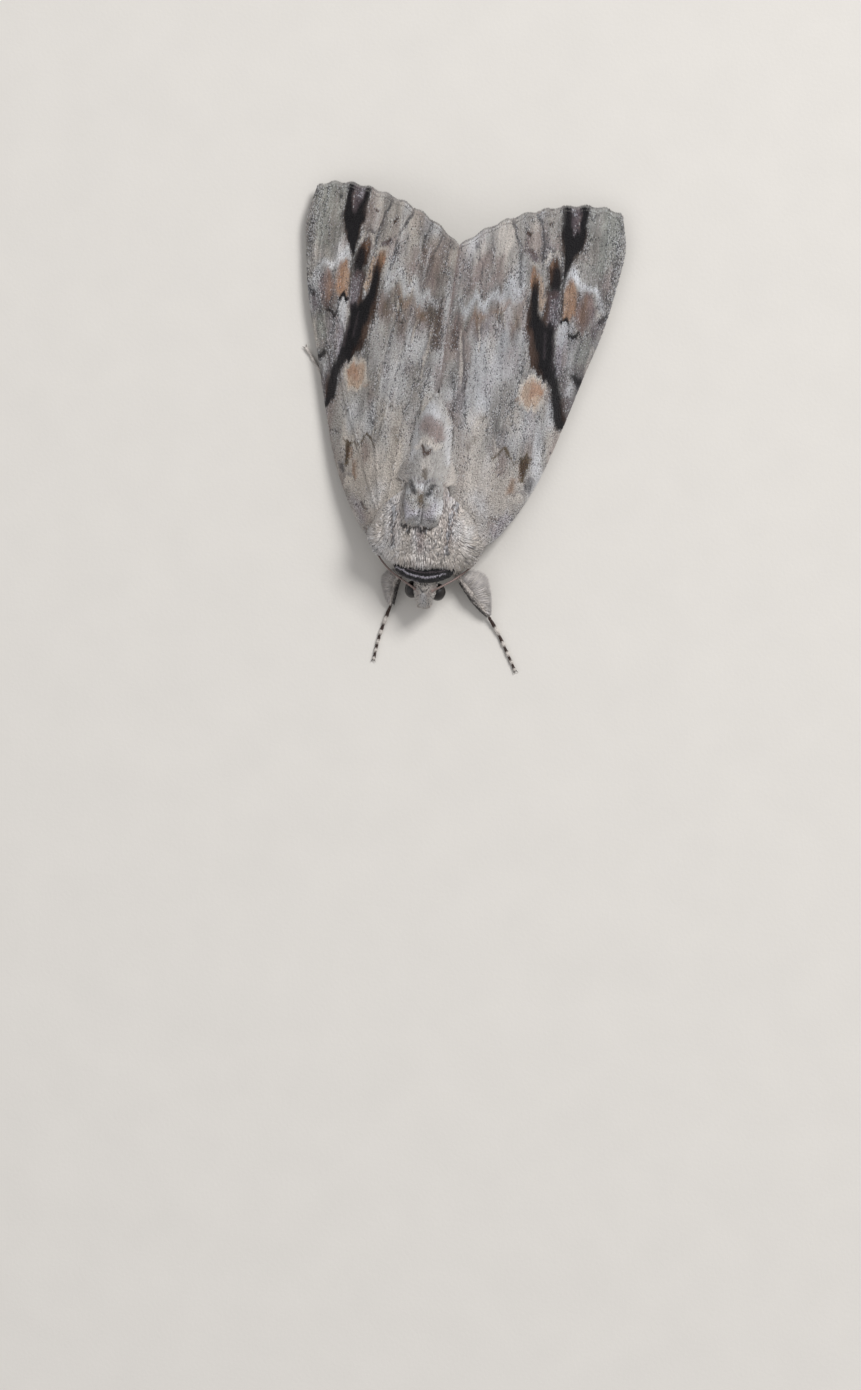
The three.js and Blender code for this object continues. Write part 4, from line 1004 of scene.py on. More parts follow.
class MOTH_OT_wing_scales(bpy.types.Operator):
    """Overlapping scales on the forewings, and the hair along their edges"""

    bl_idname = "moth.wing_scales"
    bl_label = "Wing scales"

    def execute(self, context):
        sizes, colours = settings(context)
        finish = shaded("Forewing scales", 0.75, sheen=0.06, specular=0.18, fleck=0.1, fleck_size=0.07,
                        stretch=3.0, relief=0.35)
        surface = veined_surface(sizes)
        for word, side in SIDES:
            rng = np.random.default_rng(40 + side)
            s, t = self.spread(sizes.wing_scales, rng)
            for part, chosen in (("inner", s < HALF_WING), ("outer", s >= HALF_WING)):
                coat = Coat(side)
                self.lay_scales(coat, s[chosen], t[chosen], surface, side, rng, sizes, colours)
                coat.piece(f"{part}_wing_scales_{word}", finish, "forewing")
            edge = Coat(side)
            self.lay_fringe(edge, surface, side, rng, sizes, colours)
            edge.piece("forewing_fringe_" + word, finish, "forewing")
        return {"FINISHED"}

    @staticmethod
    def spread(count, rng):
        """Scale roots spread evenly over the wing, one or so in each cell of a fine grid."""
        rows, lanes = SCALE_GRID
        s, t = (place.ravel() for place in np.meshgrid(
            (np.arange(rows) + 0.5) / rows, (np.arange(lanes) + 0.5) / lanes, indexing="ij"))
        corner = wing_surface(s, t)
        area = np.linalg.norm(np.cross(wing_surface(s + 1 / rows, t) - corner,
                                       wing_surface(s, t + 1 / lanes) - corner), axis=1)
        wanted = area / area.sum() * count
        times = (wanted + rng.random(len(wanted))).astype(int)
        s, t = np.repeat(s, times), np.repeat(t, times)
        s = s + rng.uniform(-0.5, 0.5, len(s)) / rows
        t = t + rng.uniform(-0.5, 0.5, len(t)) / lanes
        return np.clip(s, 0.002, 0.995), np.clip(t, 0.004, 0.996)

    @staticmethod
    def lay_scales(coat, s, t, surface, side, rng, sizes, colours):
        """Scales of the upper side, each overlapping the next towards the margin."""
        root = surface(s, t)
        ahead, over = wing_axes(s, t, surface)
        count = len(s)
        ahead = unit(ahead + np.cross(ahead, over) * rng.normal(0, 0.16, count)[:, None])
        colour, speckle = wing_tint(root, side, colours)
        colour = speckled(colour, speckle, colours, rng)
        where = columns(on_map(t), on_map(s))
        coat.add(root, ahead, over, sizes.wing_scale_length / MM * rng.uniform(0.8, 1.2, count),
                 sizes.wing_scale_width / MM * rng.uniform(0.8, 1.2, count),
                 colour, where, thick=0.022, lift=rng.uniform(0.05, 0.16, count), bend=-0.04,
                 form=SCALE, root_shade=0.86)

    @staticmethod
    def lay_fringe(coat, surface, side, rng, sizes, colours):
        """Hair along the outer margin, and short scales along the front and inner edges."""
        count = sizes.fringe_hairs
        t = rng.random(count)
        s = np.full(count, 0.992)
        ahead, over = wing_axes(s, t, surface)
        root = surface(s, t)
        near = in_strokes(root[:, 0], root[:, 1], VEINS, 0.5)[:, None]
        edge, _ = wing_tint(surface(np.full(count, 0.96), t), side, colours)
        colour = 0.5 * edge + 0.5 * (np.array(colours.ash) * (1 - near) + np.array(colours.plum) * near)
        colour = colour * rng.uniform(0.55, 1.05, count)[:, None]
        layer = rng.uniform(0, 0.25, count)
        where = columns(on_map(t), 0.2 + 0.6 * rng.random(count))
        coat.add(root - UP * 0.1 * layer[:, None], ahead, over,
                 sizes.fringe / MM * rng.uniform(0.55, 1.0, count), 0.1, colour, where,
                 thick=0.04, lift=-0.05 + layer * 0.3, bend=-0.06)
        for low, high, count, turn in EDGE_SCALES:
            s = rng.uniform(0.03, 0.995, count)
            t = rng.uniform(low, high, count)
            ahead, over = wing_axes(s, t, surface)
            out = unit(np.cross(ahead, over))
            root = surface(s, t)
            colour, speckle = wing_tint(root, side, colours)
            colour = speckled(colour, speckle, colours, rng)
            strip = np.clip(0.5 + 0.48 * np.sign(turn) - 0.04 * rng.random(count), 0.01, 0.99)
            where = columns(strip, on_map(s))
            coat.add(root, ahead + turn * out * np.sign(out[:, :1]), over, 0.4, 0.13, colour, where,
                     thick=0.03, lift=-0.05, bend=-0.1, form=BLADE)


# ---- Hindwings ----

HIND_FROM, HIND_TO = 0.3, 0.93  # shares of the forewing's length between which a hindwing lies
HIND_FRONT = 0.7  # share of the forewing's width that it reaches forward
HIND_DROP, HIND_CLEAR = 0.75, 1.7  # how far it lies under the forewing and off the midline
HIND_PLEATS = 7
HIND_GRID = (84, 60)  # cells across and along a hindwing


def hind_surface(s, t):
    """Upper surface of the left hindwing, folded in shallow pleats under the forewing."""
    row = HIND_FROM + (HIND_TO - HIND_FROM) * s
    inner, front = spline(INNER, row)[..., 0], spline(COSTA, row)[..., 0]
    near = (np.maximum(HIND_CLEAR, inner + 0.2) - inner) / (front - inner)
    place = wing_surface(row, near + (HIND_FRONT - near) * t)
    pleat = 0.12 * np.cos(t * 2 * math.pi * HIND_PLEATS) * (0.4 + 0.6 * s)
    return place - columns(0.0, 0.0, HIND_DROP - pleat)


class MOTH_OT_hindwings(bpy.types.Operator):
    """Black hindwings folded under the forewings, with a white fringe"""

    bl_idname = "moth.hindwings"
    bl_label = "Hindwings"

    def execute(self, context):
        sizes, colours = settings(context)
        finish = shaded("Hindwing scales", 0.6, sheen=0.2, fleck=0.25, fleck_size=0.1, stretch=4.0,
                        relief=0.4, relief_size=0.05)
        for word, side in SIDES:
            name = "hindwing_skin_" + word
            mesh = wing_mesh(name, hind_surface, HIND_GRID, sizes.membrane / MM, side)
            x, y, _ = body_points(mesh).T
            paint = Paint(x, y, colours.soot, seed=4)
            paint.lay(0.25 * smooth(0.0, 1.0, grain(x, y, 0.5, 4, 3)), colours.plum)
            paint.lay(0.6 * smooth(17, 13, y), colours.rose)
            tint_mesh(mesh, paint.colour)
            piece_from(name, mesh, finish, "hindwing", "hindwing_" + word)
            rng = np.random.default_rng(60 + side)
            count = sizes.hind_fringe_hairs
            t, s = rng.random(count), np.full(count, 0.99)
            ahead, over = wing_axes(s, t, hind_surface)
            where = columns(on_map(t), 0.1 + 0.8 * rng.random(count))
            colour = np.array(colours.bone) * rng.uniform(0.8, 1.1, count)[:, None]
            fringe = Coat(side)
            fringe.add(hind_surface(s, t), ahead, over, rng.uniform(0.7, 1.1, count), 0.13, colour, where,
                       lift=rng.uniform(-0.15, 0.1, count))
            fringe.piece("hindwing_fringe_" + word, finish, "hindwing")
        return {"FINISHED"}


# ---- Body ----

HEAD_X = 0.6  # the head is turned slightly to the moth's left
# Rows of (distance behind the head, x, lowest height, highest height, half width).
TRUNK = ((2.55, 0.3, 3.3, 5.4, 2.6), (3, 0.3, 2.6, 6.3, 4.4), (3.8, 0.25, 2.1, 7, 5.4),
         (5, 0.15, 1.8, 7.6, 6.1), (6.3, 0.05, 1.7, 8, 6.3), (7.8, 0, 1.7, 8.15, 5.9),
         (9.8, 0, 1.7, 8.1, 4.7), (11.4, 0, 1.8, 7.8, 3.6), (12.6, 0, 2, 7, 2.9))
HEAD = ((-1.4, HEAD_X, 2.5, 3.5, 0.45), (-1, HEAD_X, 2.1, 3.9, 0.9), (-0.3, HEAD_X, 1.8, 4.2, 1.2),
        (0.5, HEAD_X, 1.8, 4.35, 1.35), (1.4, HEAD_X, 2.2, 4.2, 1.2))
NECK = ((0.9, HEAD_X, 2.3, 3.9, 1.1), (3.4, 0.4, 2.4, 5, 2))
ABDOMEN_FRONT, ABDOMEN_REAR = 12, 35.2
ABDOMEN_RING = (ABDOMEN_REAR - 12.5) / 7  # length of one of its seven rings
ABDOMEN = ((ABDOMEN_FRONT, 0, 1.5, 5.2, 2.6), (14.3, 0, 0.95, 5.6, 3.1), (18.2, 0, 0.85, 5.45, 3.2),
           (23.9, 0, 0.8, 4.85, 2.85), (29.5, 0, 0.8, 3.95, 2.2), (33.4, 0, 0.85, 3.1, 1.6),
           (ABDOMEN_REAR, 0, 1, 2.5, 1.1))
BACK = ((11.6, 0, 3, 6.7, 1.5), (12.6, 0, 3, 6.6, 1.4), (15, 0, 3, 6.75, 1.5),
        (18.5, 0, 3, 6.4, 1.2), (21, 0, 3, 5.6, 0.7))
# Centre lines of the collar and of the legs' first parts.
COLLAR = ((-3.2, 3, 3.85), (-1.7, 1.95, 4.75), (0.35, 1.5, 5), (2.4, 1.95, 4.75), (3.9, 3, 3.85))
FEMORA = {
    "forefemur_left": ((2.2, 4.6, 1.25), (4, 1.85, 1.55)),
    "forefemur_right": ((-2, 4.6, 1.25), (-2.6, 1.65, 1.6)),
    "midfemur_left": ((1.9, 6.9, 1.2), (4.6, 8.2, 0.95), (7.2, 9.95, 0.9)),
    "midfemur_right": ((-1.9, 6.9, 1.2), (-4.6, 8.2, 0.95), (-7.2, 10.1, 0.9)),
    "hindfemur_left": ((1.8, 9.6, 1.15), (3.4, 12, 0.9), (4.95, 14.5, 0.85)),
    "hindfemur_right": ((-1.8, 9.6, 1.15), (-3.4, 12, 0.9), (-4.95, 14.5, 0.85)),
}
PARTING = 8.9  # distance behind the head at which the thorax hair parts, under the crest
LOBE_X, LOBE_Y, LOBE_Z = 0.95, 8.9, 8.0  # middle of one lobe of the crest
LOBE_RADII = (0.85, 2.2, 0.72)
BROW_HALF, BROW_HEIGHT = 1.42, 4.5  # half width and height of the crown's shield of hair
BROW_TIP, BROW_REAR = -2.35, 0.75  # where it ends in front, and where it is widest
HEAD_MARKS = (
    ("slate", 0.2, 0.85, ((-0.4, 0.15, 0.06), (0.2, -0.6, 0.1), (0.8, 0.1, 0.06))),
    ("rose", 0.5, 0.6, ((-0.3, 0.5, 0.2), (0.9, 0.5, 0.2))),
)
BROW_MARKS = (
    ("rose", 0.5, 0.5, ((-0.6, 0.3, 0.2), (0.0, -0.9, 0.2))),
    ("rose", 0.5, 0.5, ((1.9, 0.3, 0.2), (1.2, -0.9, 0.2))),
    ("frost", 0.6, 0.5, ((0.6, -1.0, 0.4), (0.75, -1.8, 0.3))),
    ("ink", 0.16, 0.8, ((-0.1, 0.15, 0.07), (0.55, -0.5, 0.1), (1.2, 0.0, 0.07))),
)
EYE_RADII = (0.85, 0.98, 0.98)
EYE = (1.45, -0.15, 2.95)  # centre of an eye: out from the head's middle, behind its origin, height


def palp_path(side):
    """Centre line of a labial palp, which rises in front of the face."""
    return [(HEAD_X + side * out, y, z) for out, y, z in
            ((0.5, -1.2, 1.95), (0.46, -1.6, 2.6), (0.36, -1.75, 3.2), (0.28, -1.65, 3.6))]


def femur_radius(share):
    """Radius of a thigh along its length."""
    return 0.36 + 0.2 * np.sin(math.pi * np.minimum(1, share * 1.1))


def palp_radius(share):
    """Radius of a palp along its length."""
    return 0.14 + 0.16 * np.sin(math.pi * np.minimum(1, 0.15 + share))


def collar_radius(share):
    """Radius of the collar's roll from side to side."""
    return 0.3 + 0.36 * np.sin(math.pi * share) ** 0.6


def body_skin(sizes):
    """The body's one skin: its parts are lofted, fused in small cells and smoothed."""
    inset = sizes.coat_depth / MM
    shape = bmesh.new()
    body_loft(shape, TRUNK, inset, 26)
    body_loft(shape, ABDOMEN, 0.25, 40)
    body_loft(shape, BACK, 0.1, 16)
    body_loft(shape, HEAD, 0.15, 12)
    body_loft(shape, NECK, 0.2, 6)
    tube(shape, COLLAR, collar_radius, 20, 16)
    for _, side in SIDES:
        tube(shape, palp_path(side), palp_radius, 10, 12)
        lobe = stretched((side * LOBE_X, LOBE_Y, LOBE_Z), LOBE_RADII)
        bmesh.ops.create_uvsphere(shape, u_segments=24, v_segments=12, radius=1.0, matrix=lobe)
    for path in FEMORA.values():
        tube(shape, path, femur_radius, 12, 14)
    rough = bpy.data.objects.new("rough_skin", mesh_from_shape("rough_skin", shape, in_place=True))
    bpy.context.scene.collection.objects.link(rough)
    fuse = rough.modifiers.new("Fuse", "REMESH")
    fuse.mode = "VOXEL"
    fuse.voxel_size = sizes.skin_cell / MM
    soften = rough.modifiers.new("Soften", "SMOOTH")
    soften.iterations = 4
    fused = rough.evaluated_get(bpy.context.evaluated_depsgraph_get())
    mesh = bpy.data.meshes.new_from_object(fused)
    bpy.data.objects.remove(rough)
    mesh.transform(TO_PART)
    mesh.name = "body_skin"
    smooth_faces(mesh)
    return mesh


class MOTH_OT_skin(bpy.types.Operator):
    """One skin for thorax, collar, head, palps, abdomen and thighs"""

    bl_idname = "moth.skin"
    bl_label = "Skin"

    def execute(self, context):
        sizes, colours = settings(context)
        mesh = body_skin(sizes)
        points = body_points(mesh)
        tint = 0.45 * body_tint(points, colours) + 0.35 * np.array(colours.skin)
        tint_mesh(mesh, np.where(on_collar(points)[:, None], collar_tint(points, colours), tint))
        finish = shaded("Skin under the coat", 0.8, fleck=0.2, relief_size=0.05)
        nodes = ["collar", "thorax", "crest", "head", "abdomen", *FEMORA]
        nodes += [part + word for part in ("tegula_", "palp_") for word, _ in SIDES]
        piece_from("body_skin", mesh, finish, "thorax", *nodes)
        return {"FINISHED"}


def in_crest(points):
    """Places on the two lobes of the crest."""
    x, y, z = points.T
    reach = ((np.abs(x) - LOBE_X) / 1.12) ** 2 + ((y - LOBE_Y) / 2.35) ** 2
    return (reach < 1) & (z > 7.6)


def whorl(root, rng):
    """Lie of the thorax hair: forward before the crest, back behind it, crossing where the two meet."""
    x, y, _ = root.T
    out = np.abs(x)
    fore = rng.random(len(x)) < smooth(PARTING + 0.7, PARTING - 0.7, y)
    middle = columns(0.04 * x, np.where(fore, -1.0, 1.0), -0.1 * out)
    flank = columns(np.sign(x), 0.42 * (y - 5.4), -0.4)
    turn = smooth(2.9, 5.2, out)[:, None]
    return middle * (1 - turn) + flank * turn + rng.normal(0, 0.08, root.shape)


def hair_tint(root, ahead, length, reach, colours, rng, shift=(0.0, 0.0, 0.0)):
    """Colours of the body's hair: those of the coat at reach of its length, and shift away."""
    place = root + ahead * reach * length[:, None] + np.array(shift)
    return speckled(body_tint(place, colours), back_speckle(place), colours, rng)


class MOTH_OT_thorax_coat(bpy.types.Operator):
    """Hair of the thorax and its flaps, and the two-lobed crest"""

    bl_idname = "moth.thorax_coat"
    bl_label = "Thorax coat"

    def execute(self, context):
        sizes, colours = settings(context)
        skin = bpy.data.objects["body_skin"].data
        finish = shaded("Thorax hair", 0.78, sheen=0.15, fleck=0.12, fleck_size=0.08, stretch=5.0)
        for name, lay, count in (("thorax_hair", self.lay_hair, sizes.thorax_tufts),
                                 ("shoulder_hair", self.lay_flaps, sizes.shoulder_tufts),
                                 ("crest_hair", self.lay_crest, sizes.crest_tufts)):
            coat = Coat()
            lay(coat, skin, count, colours)
            coat.piece(name, finish, "thorax")
        return {"FINISHED"}

    @staticmethod
    def lay_hair(coat, skin, count, colours):
        """Hair of the whole thorax, raised in a fringe over the collar."""
        def share(points):
            x, y, z = points.T
            trunk = (y > 2.7) & (y < 12.9) & (np.abs(x) < 6.4) & (z > 1.2)
            trunk = trunk & ((y > 3.3) | (z > 5.3) | (np.abs(x) > 3.6))
            upper = 0.3 + 0.7 * smooth(2.6, 4.2, z)
            return trunk * upper * np.where(in_crest(points), 0.1, 1.0)

        root, normal, rng = scatter(skin, count, share, 11)
        x, y, z = root.T
        front = smooth(4.0, 3.0, y) * smooth(3.6, 5.0, z)
        chin = front * smooth(2.8, 0.3, np.abs(x + 0.3))
        stand = rng.uniform(0.16, 0.26, count) + 0.2 * front + 0.25 * chin - 0.1 * smooth(9.6, 11.2, y)
        ahead = lying(whorl(root, rng), normal, stand)
        outer = smooth(3.2, 4.4, np.abs(x)) * smooth(4.4, 5.6, y)
        length = rng.uniform(0.55, 0.9, count) * (1 + 0.6 * front + 0.6 * chin - 0.25 * outer)
        colour = hair_tint(root, ahead, length, 0.5, colours, rng)
        # painted light: the thorax hair is lightened, most towards the midline, against the shade that
        # falls between the hairs
        colour *= 1.06 + 0.24 * smooth(4.4, 3.4, np.abs(x))[:, None]
        coat.add(root - normal * 0.03, ahead, normal, length, rng.uniform(0.08, 0.14, count), colour,
                 girdle_map(root), thick=0.025, bend=-0.1, form=BLADE, root_shade=0.94)

    @staticmethod
    def lay_flaps(coat, skin, count, colours):
        """Hair of the shoulder flaps, spread over the bases of the wings."""
        def share(points):
            x, y, z = points.T
            flank = (np.abs(x) > 2.6) & (y > 2.9) & (y < 12.0) & (z > 3.6) & (z < 7.8)
            return flank * smooth(2.0, 5.0, np.abs(x)) * (1 + 1.2 * smooth(6.0, 4.5, y))

        root, normal, rng = scatter(skin, count, share, 31)
        out, y = np.abs(root[:, 0]), root[:, 1]
        corner = smooth(3.6, 4.8, out) * smooth(6.6, 5.0, y)
        ahead = lying(whorl(root, rng), normal, rng.uniform(0.1, 0.2, count) + 0.2 * corner)
        length = rng.uniform(0.45, 0.75, count) + 1.1 * corner
        colour = hair_tint(root, ahead, length, 0.6, colours, rng)
        # painted light: the flap hair is lightened against the shade between the hairs, the right flap more
        # than the left
        colour *= np.where(root[:, 0] > 0, 1.04, 1.17)[:, None]
        coat.add(root, ahead, normal, length, rng.uniform(0.09, 0.15, count), colour, girdle_map(root),
                 thick=0.025, bend=-0.14, form=BLADE, root_shade=0.95)

    @staticmethod
    def lay_crest(coat, skin, count, colours):
        """Hair of the crest's lobes, which hangs down in front and lies back behind."""
        def share(points):
            return in_crest(points) * (1 + smooth(7.9, 7.0, points[:, 1]))

        root, normal, rng = scatter(skin, count, share, 12)
        x, y, _ = root.T
        lobe = np.sign(x) * LOBE_X
        front, rear = smooth(7.7, 6.7, y), smooth(9.6, 10.8, y)
        back = -0.3 + 0.8 * smooth(6.9, 9.0, y) - 0.3 * front + 0.4 * rear
        direction = columns(0.25 * (x - lobe) - 0.15, back, 0.6 - 1.1 * front - 0.4 * rear)
        ahead = unit(direction + rng.normal(0, 0.08, (count, 3)) + (0.5 - 0.2 * front)[:, None] * normal)
        upright = np.exp(-(((y - 7.75) / 0.6) ** 2))
        length = rng.uniform(0.45, 0.7, count) * (1 - 0.35 * front + 0.7 * rear) * (1 - 0.5 * upright)
        sx, sy = seen(root + ahead * 0.8 * length[:, None])
        paint = Paint(sx, sy, colours.ash, seed=6, ragged=0.08)
        paint.lay(0.5 * smooth(-0.2, 0.7, grain(sx, sy, 0.6, 0.8, 5)), colours.frost)
        paint.marks(CREST_MARKS, colours)
        colour = speckled(paint.colour, np.full(count, 0.08), colours, rng)
        # painted light: the front faces and the upright hair are lightened against the shade that falls
        # between the hairs
        colour *= (1 + 0.25 * smooth(8.8, 7.4, y) + 0.25 * upright)[:, None]
        coat.add(root, ahead, (0.0, -1.0, 0.6), length, rng.uniform(0.11, 0.18, count), colour,
                 girdle_map(root), thick=0.03, bend=-0.25, form=BLADE, root_shade=0.97)


OPENING = (11.65, 21.3)  # how far behind the head the opening between the wings begins and ends


class MOTH_OT_abdomen_coat(bpy.types.Operator):
    """Hair of the abdomen, with long tufts between the wing bases and at its tip"""

    bl_idname = "moth.abdomen_coat"
    bl_label = "Abdomen coat"

    def execute(self, context):
        sizes, colours = settings(context)
        skin = bpy.data.objects["body_skin"].data
        count = sizes.abdomen_tufts

        def share(points):
            x, y, z = points.T
            behind = (y > ABDOMEN_FRONT) & (np.abs(x) < 3.4)
            leg = (z < 1.6) & (np.abs(x) > 1.2) & (y < 15.5)
            opening = (y > 11.3) & (y < 21.6) & (np.abs(x) < 2.5) & (z > 4.2)
            return behind * ~leg * (1 - 0.9 * opening)

        finish = shaded("Abdomen hair", 0.8, sheen=0.15, fleck=0.14, fleck_size=0.08, stretch=5.0)
        root, normal, rng = scatter(skin, count, share, 13)
        tip = smooth(33.5, ABDOMEN_REAR, root[:, 1])
        direction = columns(0.05 * root[:, 0], 1.0, -0.05)
        direction += rng.normal(0, 0.08, (count, 3))
        length = rng.uniform(0.8, 1.3, count) * (1 + 1.1 * tip)
        self.lay("abdomen_hair", finish, root, lying(direction, normal, 0.18 - 0.1 * tip), normal, length,
                 colours, rng)
        self.fill_opening(sizes.back_tufts, colours, finish)
        return {"FINISHED"}

    def fill_opening(self, count, colours, finish):
        """Hair rooted on the back between the wings, its tips spread evenly at the wings' level."""
        rng = np.random.default_rng(17)
        edges = np.array(INNER)
        y = rng.uniform(*OPENING, 4 * count)
        x = rng.uniform(-2.8, 2.8, len(y))
        half = np.interp(y, edges[:, 1], edges[:, 0]) * (1.02 - 0.2 * smooth(12.5, 14.5, y))
        kept = np.flatnonzero(np.abs(x) < half + rng.normal(0.0, 0.1, len(y)))
        x, y = x[kept[:count]], y[kept[:count]]
        level = np.interp(y, [12, 14, 18, 22], [7.65, 7.85, 7.7, 7.3]) + rng.normal(0, 0.05, len(x))
        back = np.interp(y - 1.1, [12, 15, 18.5, 21], [6.5, 6.6, 6.3, 5.5]) - 0.45 * (0.5 * x) ** 2
        root = columns(0.6 * x, y - 1.1, back - 0.1)
        rise = columns(x, y - 0.37, level + 0.41) - root
        self.lay("back_hair", finish, root, unit(rise), UP, np.linalg.norm(rise, axis=1), colours, rng,
                 droop=0.35, shift=(0.0, 1.3, 0.0))

    @staticmethod
    def lay(name, finish, root, ahead, normal, length, colours, rng, droop=0.12, shift=(0.0, 0.0, 0.0)):
        """Makes one piece of tufts, their tips turned down by droop and tinted as shift away."""
        colour = hair_tint(root, ahead, length, 0.8, colours, rng, shift)
        coat = Coat()
        coat.add(root - normal * 0.05, ahead, normal, length, rng.uniform(0.08, 0.15, len(root)), colour,
                 girdle_map(root), thick=0.03, bend=-droop, form=BLADE, root_shade=0.9)
        coat.piece(name, finish, "abdomen")


COLLAR_X = 0.35  # middle of the collar


def on_collar(points):
    """Places on the banded collar."""
    x, y, z = points.T
    line = 1.55 + 0.115 * (x - COLLAR_X) ** 2
    return (np.abs(y - line) < 1.15) & (z > 3.4) & (y < 3.1) & (z < 5.9) & (np.abs(x - COLLAR_X) < 4.2)


# Pale lines of the collar as they look from above: colour, strength and stroke.
COLLAR_LINES = (
    ("plum", 0.7, ((-3.4, 2.5, 0.05), (-1.6, 1.85, 0.05), (-0.3, 1.6, 0.05), (1.2, 1.85, 0.05),
                   (3.2, 2.5, 0.05))),
    ("lilac", 1, ((-3.2, 2, 0.07), (-1.7, 1.4, 0.09), (-0.3, 1.08, 0.09), (0.9, 1.2, 0.09),
                    (2.4, 1.85, 0.06))),
    ("lilac", 0.7, ((-3.1, 1.4, 0.05), (-1.6, 0.85, 0.06), (-0.4, 0.6, 0.05))),
)


def collar_tint(points, colours):
    """Dark bands of the collar with two thin pale lines between, dipping at the midline. The near-black
    ground is the collar's own dark colour together with painted shade under the thorax's overhanging front
    edge.
    """
    x, y = seen(points)
    # near-black ground: the collar's dark bands and painted shade under the thorax's front edge
    paint = Paint(x, y, colours.ink, seed=7, ragged=0.03)
    for name, strength, line in COLLAR_LINES:
        paint.lay(strength * paint.cover(line, 0.07), getattr(colours, name))
    return paint.colour


class MOTH_OT_head_coat(bpy.types.Operator):
    """Short scales of head, palps and neck, the banded collar and the crown's longer hair"""

    bl_idname = "moth.head_coat"
    bl_label = "Head and collar coat"

    def execute(self, context):
        sizes, colours = settings(context)
        skin = bpy.data.objects["body_skin"].data
        count = sizes.head_tufts
        finish = shaded("Head scales", 0.75, sheen=0.12, fleck=0.12, fleck_size=0.07)

        def share(points):
            x, y, z = points.T
            neck = (y < 3.4) & (np.abs(x - HEAD_X) < 2.6) & (z < 5.2)
            head = ((y < 1.6) | neck) & (z > 1.2) & ~on_collar(points)
            return head * (1 + 1.4 * smooth(-0.7, -1.1, y)) + 1.8 * on_collar(points)

        root, normal, rng = scatter(skin, count, share, 14)
        x, y, z = root.T
        collar = on_collar(root)
        direction = columns(0.1 * (x - HEAD_X), -1.0, np.where(collar, -0.5, -0.25))
        palp = (y < -1.15) & ~collar
        direction[palp] = (0, -0.9, 0.25)
        direction += rng.normal(0, 0.07, (count, 3))
        crown = smooth(3.8, 4.2, z) * ~collar
        bib = collar * smooth(1.5, 1.0, y - 0.1 * (x - COLLAR_X) ** 2)
        ahead = lying(direction, normal, np.where(collar, 0.12 + 0.5 * bib, 0.24 + 0.14 * crown))
        sx, sy = seen(root)
        paint = Paint(sx, sy, colours.beige, seed=9, ragged=0.08)
        paint.lay(0.6 * smooth(-0.2, 0.6, grain(sx, sy, 0.3, 0.5, 3)), colours.bone)
        paint.marks(HEAD_MARKS, colours)
        dark = rng.random(count) < 0.1
        paint.colour[dark] *= 0.5
        paint.colour *= 1.25
        length = rng.uniform(0.3, 0.45, count) * (1 + 0.5 * crown) * np.where(collar, 0.8 + 0.55 * bib, 1.0)
        middle = root + ahead * 0.6 * length[:, None]
        colour = np.where(collar[:, None], collar_tint(middle, colours), paint.colour)
        colour = colour * rng.uniform(0.85, 1.12, count)[:, None]
        coat = Coat()
        coat.add(root, ahead, normal, length, 0.09, colour, girdle_map(root), thick=0.025,
                 bend=-0.12, form=BLADE, root_shade=0.9)
        self.lay_brow(coat, sizes.brow_tufts, colours, rng)
        coat.piece("head_scales", finish, "head")
        return {"FINISHED"}

    @staticmethod
    def lay_brow(coat, count, colours, rng):
        """Longer hair of the crown: a rounded shield over the eyes' inner halves and the palps."""
        y = rng.uniform(BROW_TIP, BROW_REAR, count)
        across = rng.uniform(-1, 1, count)
        across = np.sign(across) * np.abs(across) ** 0.8
        x = across * BROW_HALF * np.sqrt(1 - ((BROW_REAR - y) / (BROW_REAR - BROW_TIP)) ** 2)
        height = BROW_HEIGHT - 0.22 * x**2 - 0.2 * np.maximum(0, -y) ** 1.5 - 0.1 * rng.random(count)
        tip = columns(HEAD_X + 0.12 + x, y, height)
        root = columns(HEAD_X + 0.45 * x, 0.7 * y + 0.55, np.minimum(4.02, height - 0.25))
        paint = Paint(tip[:, 0], y, colours.bone, seed=9, ragged=0.06)
        paint.marks(BROW_MARKS, colours)
        colour = 1.2 * speckled(paint.colour, np.full(count, 0.1), colours, rng)
        coat.add(root, tip - root, UP, np.linalg.norm(tip - root, axis=1),
                 rng.uniform(0.08, 0.13, count), colour, girdle_map(root), thick=0.04, lift=0.1, bend=-0.1,
                 form=BLADE, root_shade=0.9)


class MOTH_OT_eyes(bpy.types.Operator):
    """Compound eyes with fine facets"""

    bl_idname = "moth.eyes"
    bl_label = "Eyes"

    def execute(self, context):
        colours = context.scene.moth_colours
        finish = shaded("Compound eye", 0.3, specular=0.45, coat=0.15, fleck=0.5, fleck_size=0.5,
                        relief=0.25, relief_size=0.07, colour=tuple(colours.eye), cells=True)
        out, y, z = EYE
        for word, side in SIDES:
            shape = bmesh.new()
            bmesh.ops.create_icosphere(shape, subdivisions=5, radius=1.0,
                                       matrix=stretched((HEAD_X + side * out, y, z), EYE_RADII))
            mesh = mesh_from_shape("eye_ball_" + word, shape)
            piece_from("eye_ball_" + word, mesh, finish, "eye", "eye_" + word)
        return {"FINISHED"}


ANTENNA_JOINTS = 84
ANTENNA_BAND = 0.29  # length of one pale and one dark band of an antenna


def antenna_radius(share):
    """Radius of an antenna: a thick base, then a thread that narrows at each joint."""
    base = 1 + 0.9 * smooth(0.03, 0.0, share)
    joint = 0.86 + 0.2 * np.sin(math.pi * ((share * ANTENNA_JOINTS) % 1.0))
    return (0.12 - 0.06 * share) * base * joint


def antenna_path(side):
    """Centre line of an antenna, laid back under the wing's front edge."""
    return ((HEAD_X + side * 0.95, -0.2, 4.15), (HEAD_X + side * 1.9, 0.35, 4.45),
            (side * 3.7 + 0.3, 1.55, 3.6), (side * 5.3 + 0.15, 3.2, 2.65), (side * 6.5, 5.6, 2.0),
            (side * 8.9, 9.2, 1.05), (side * 10.9, 13.2, 0.62), (side * 11.7, 16.6, 0.42))


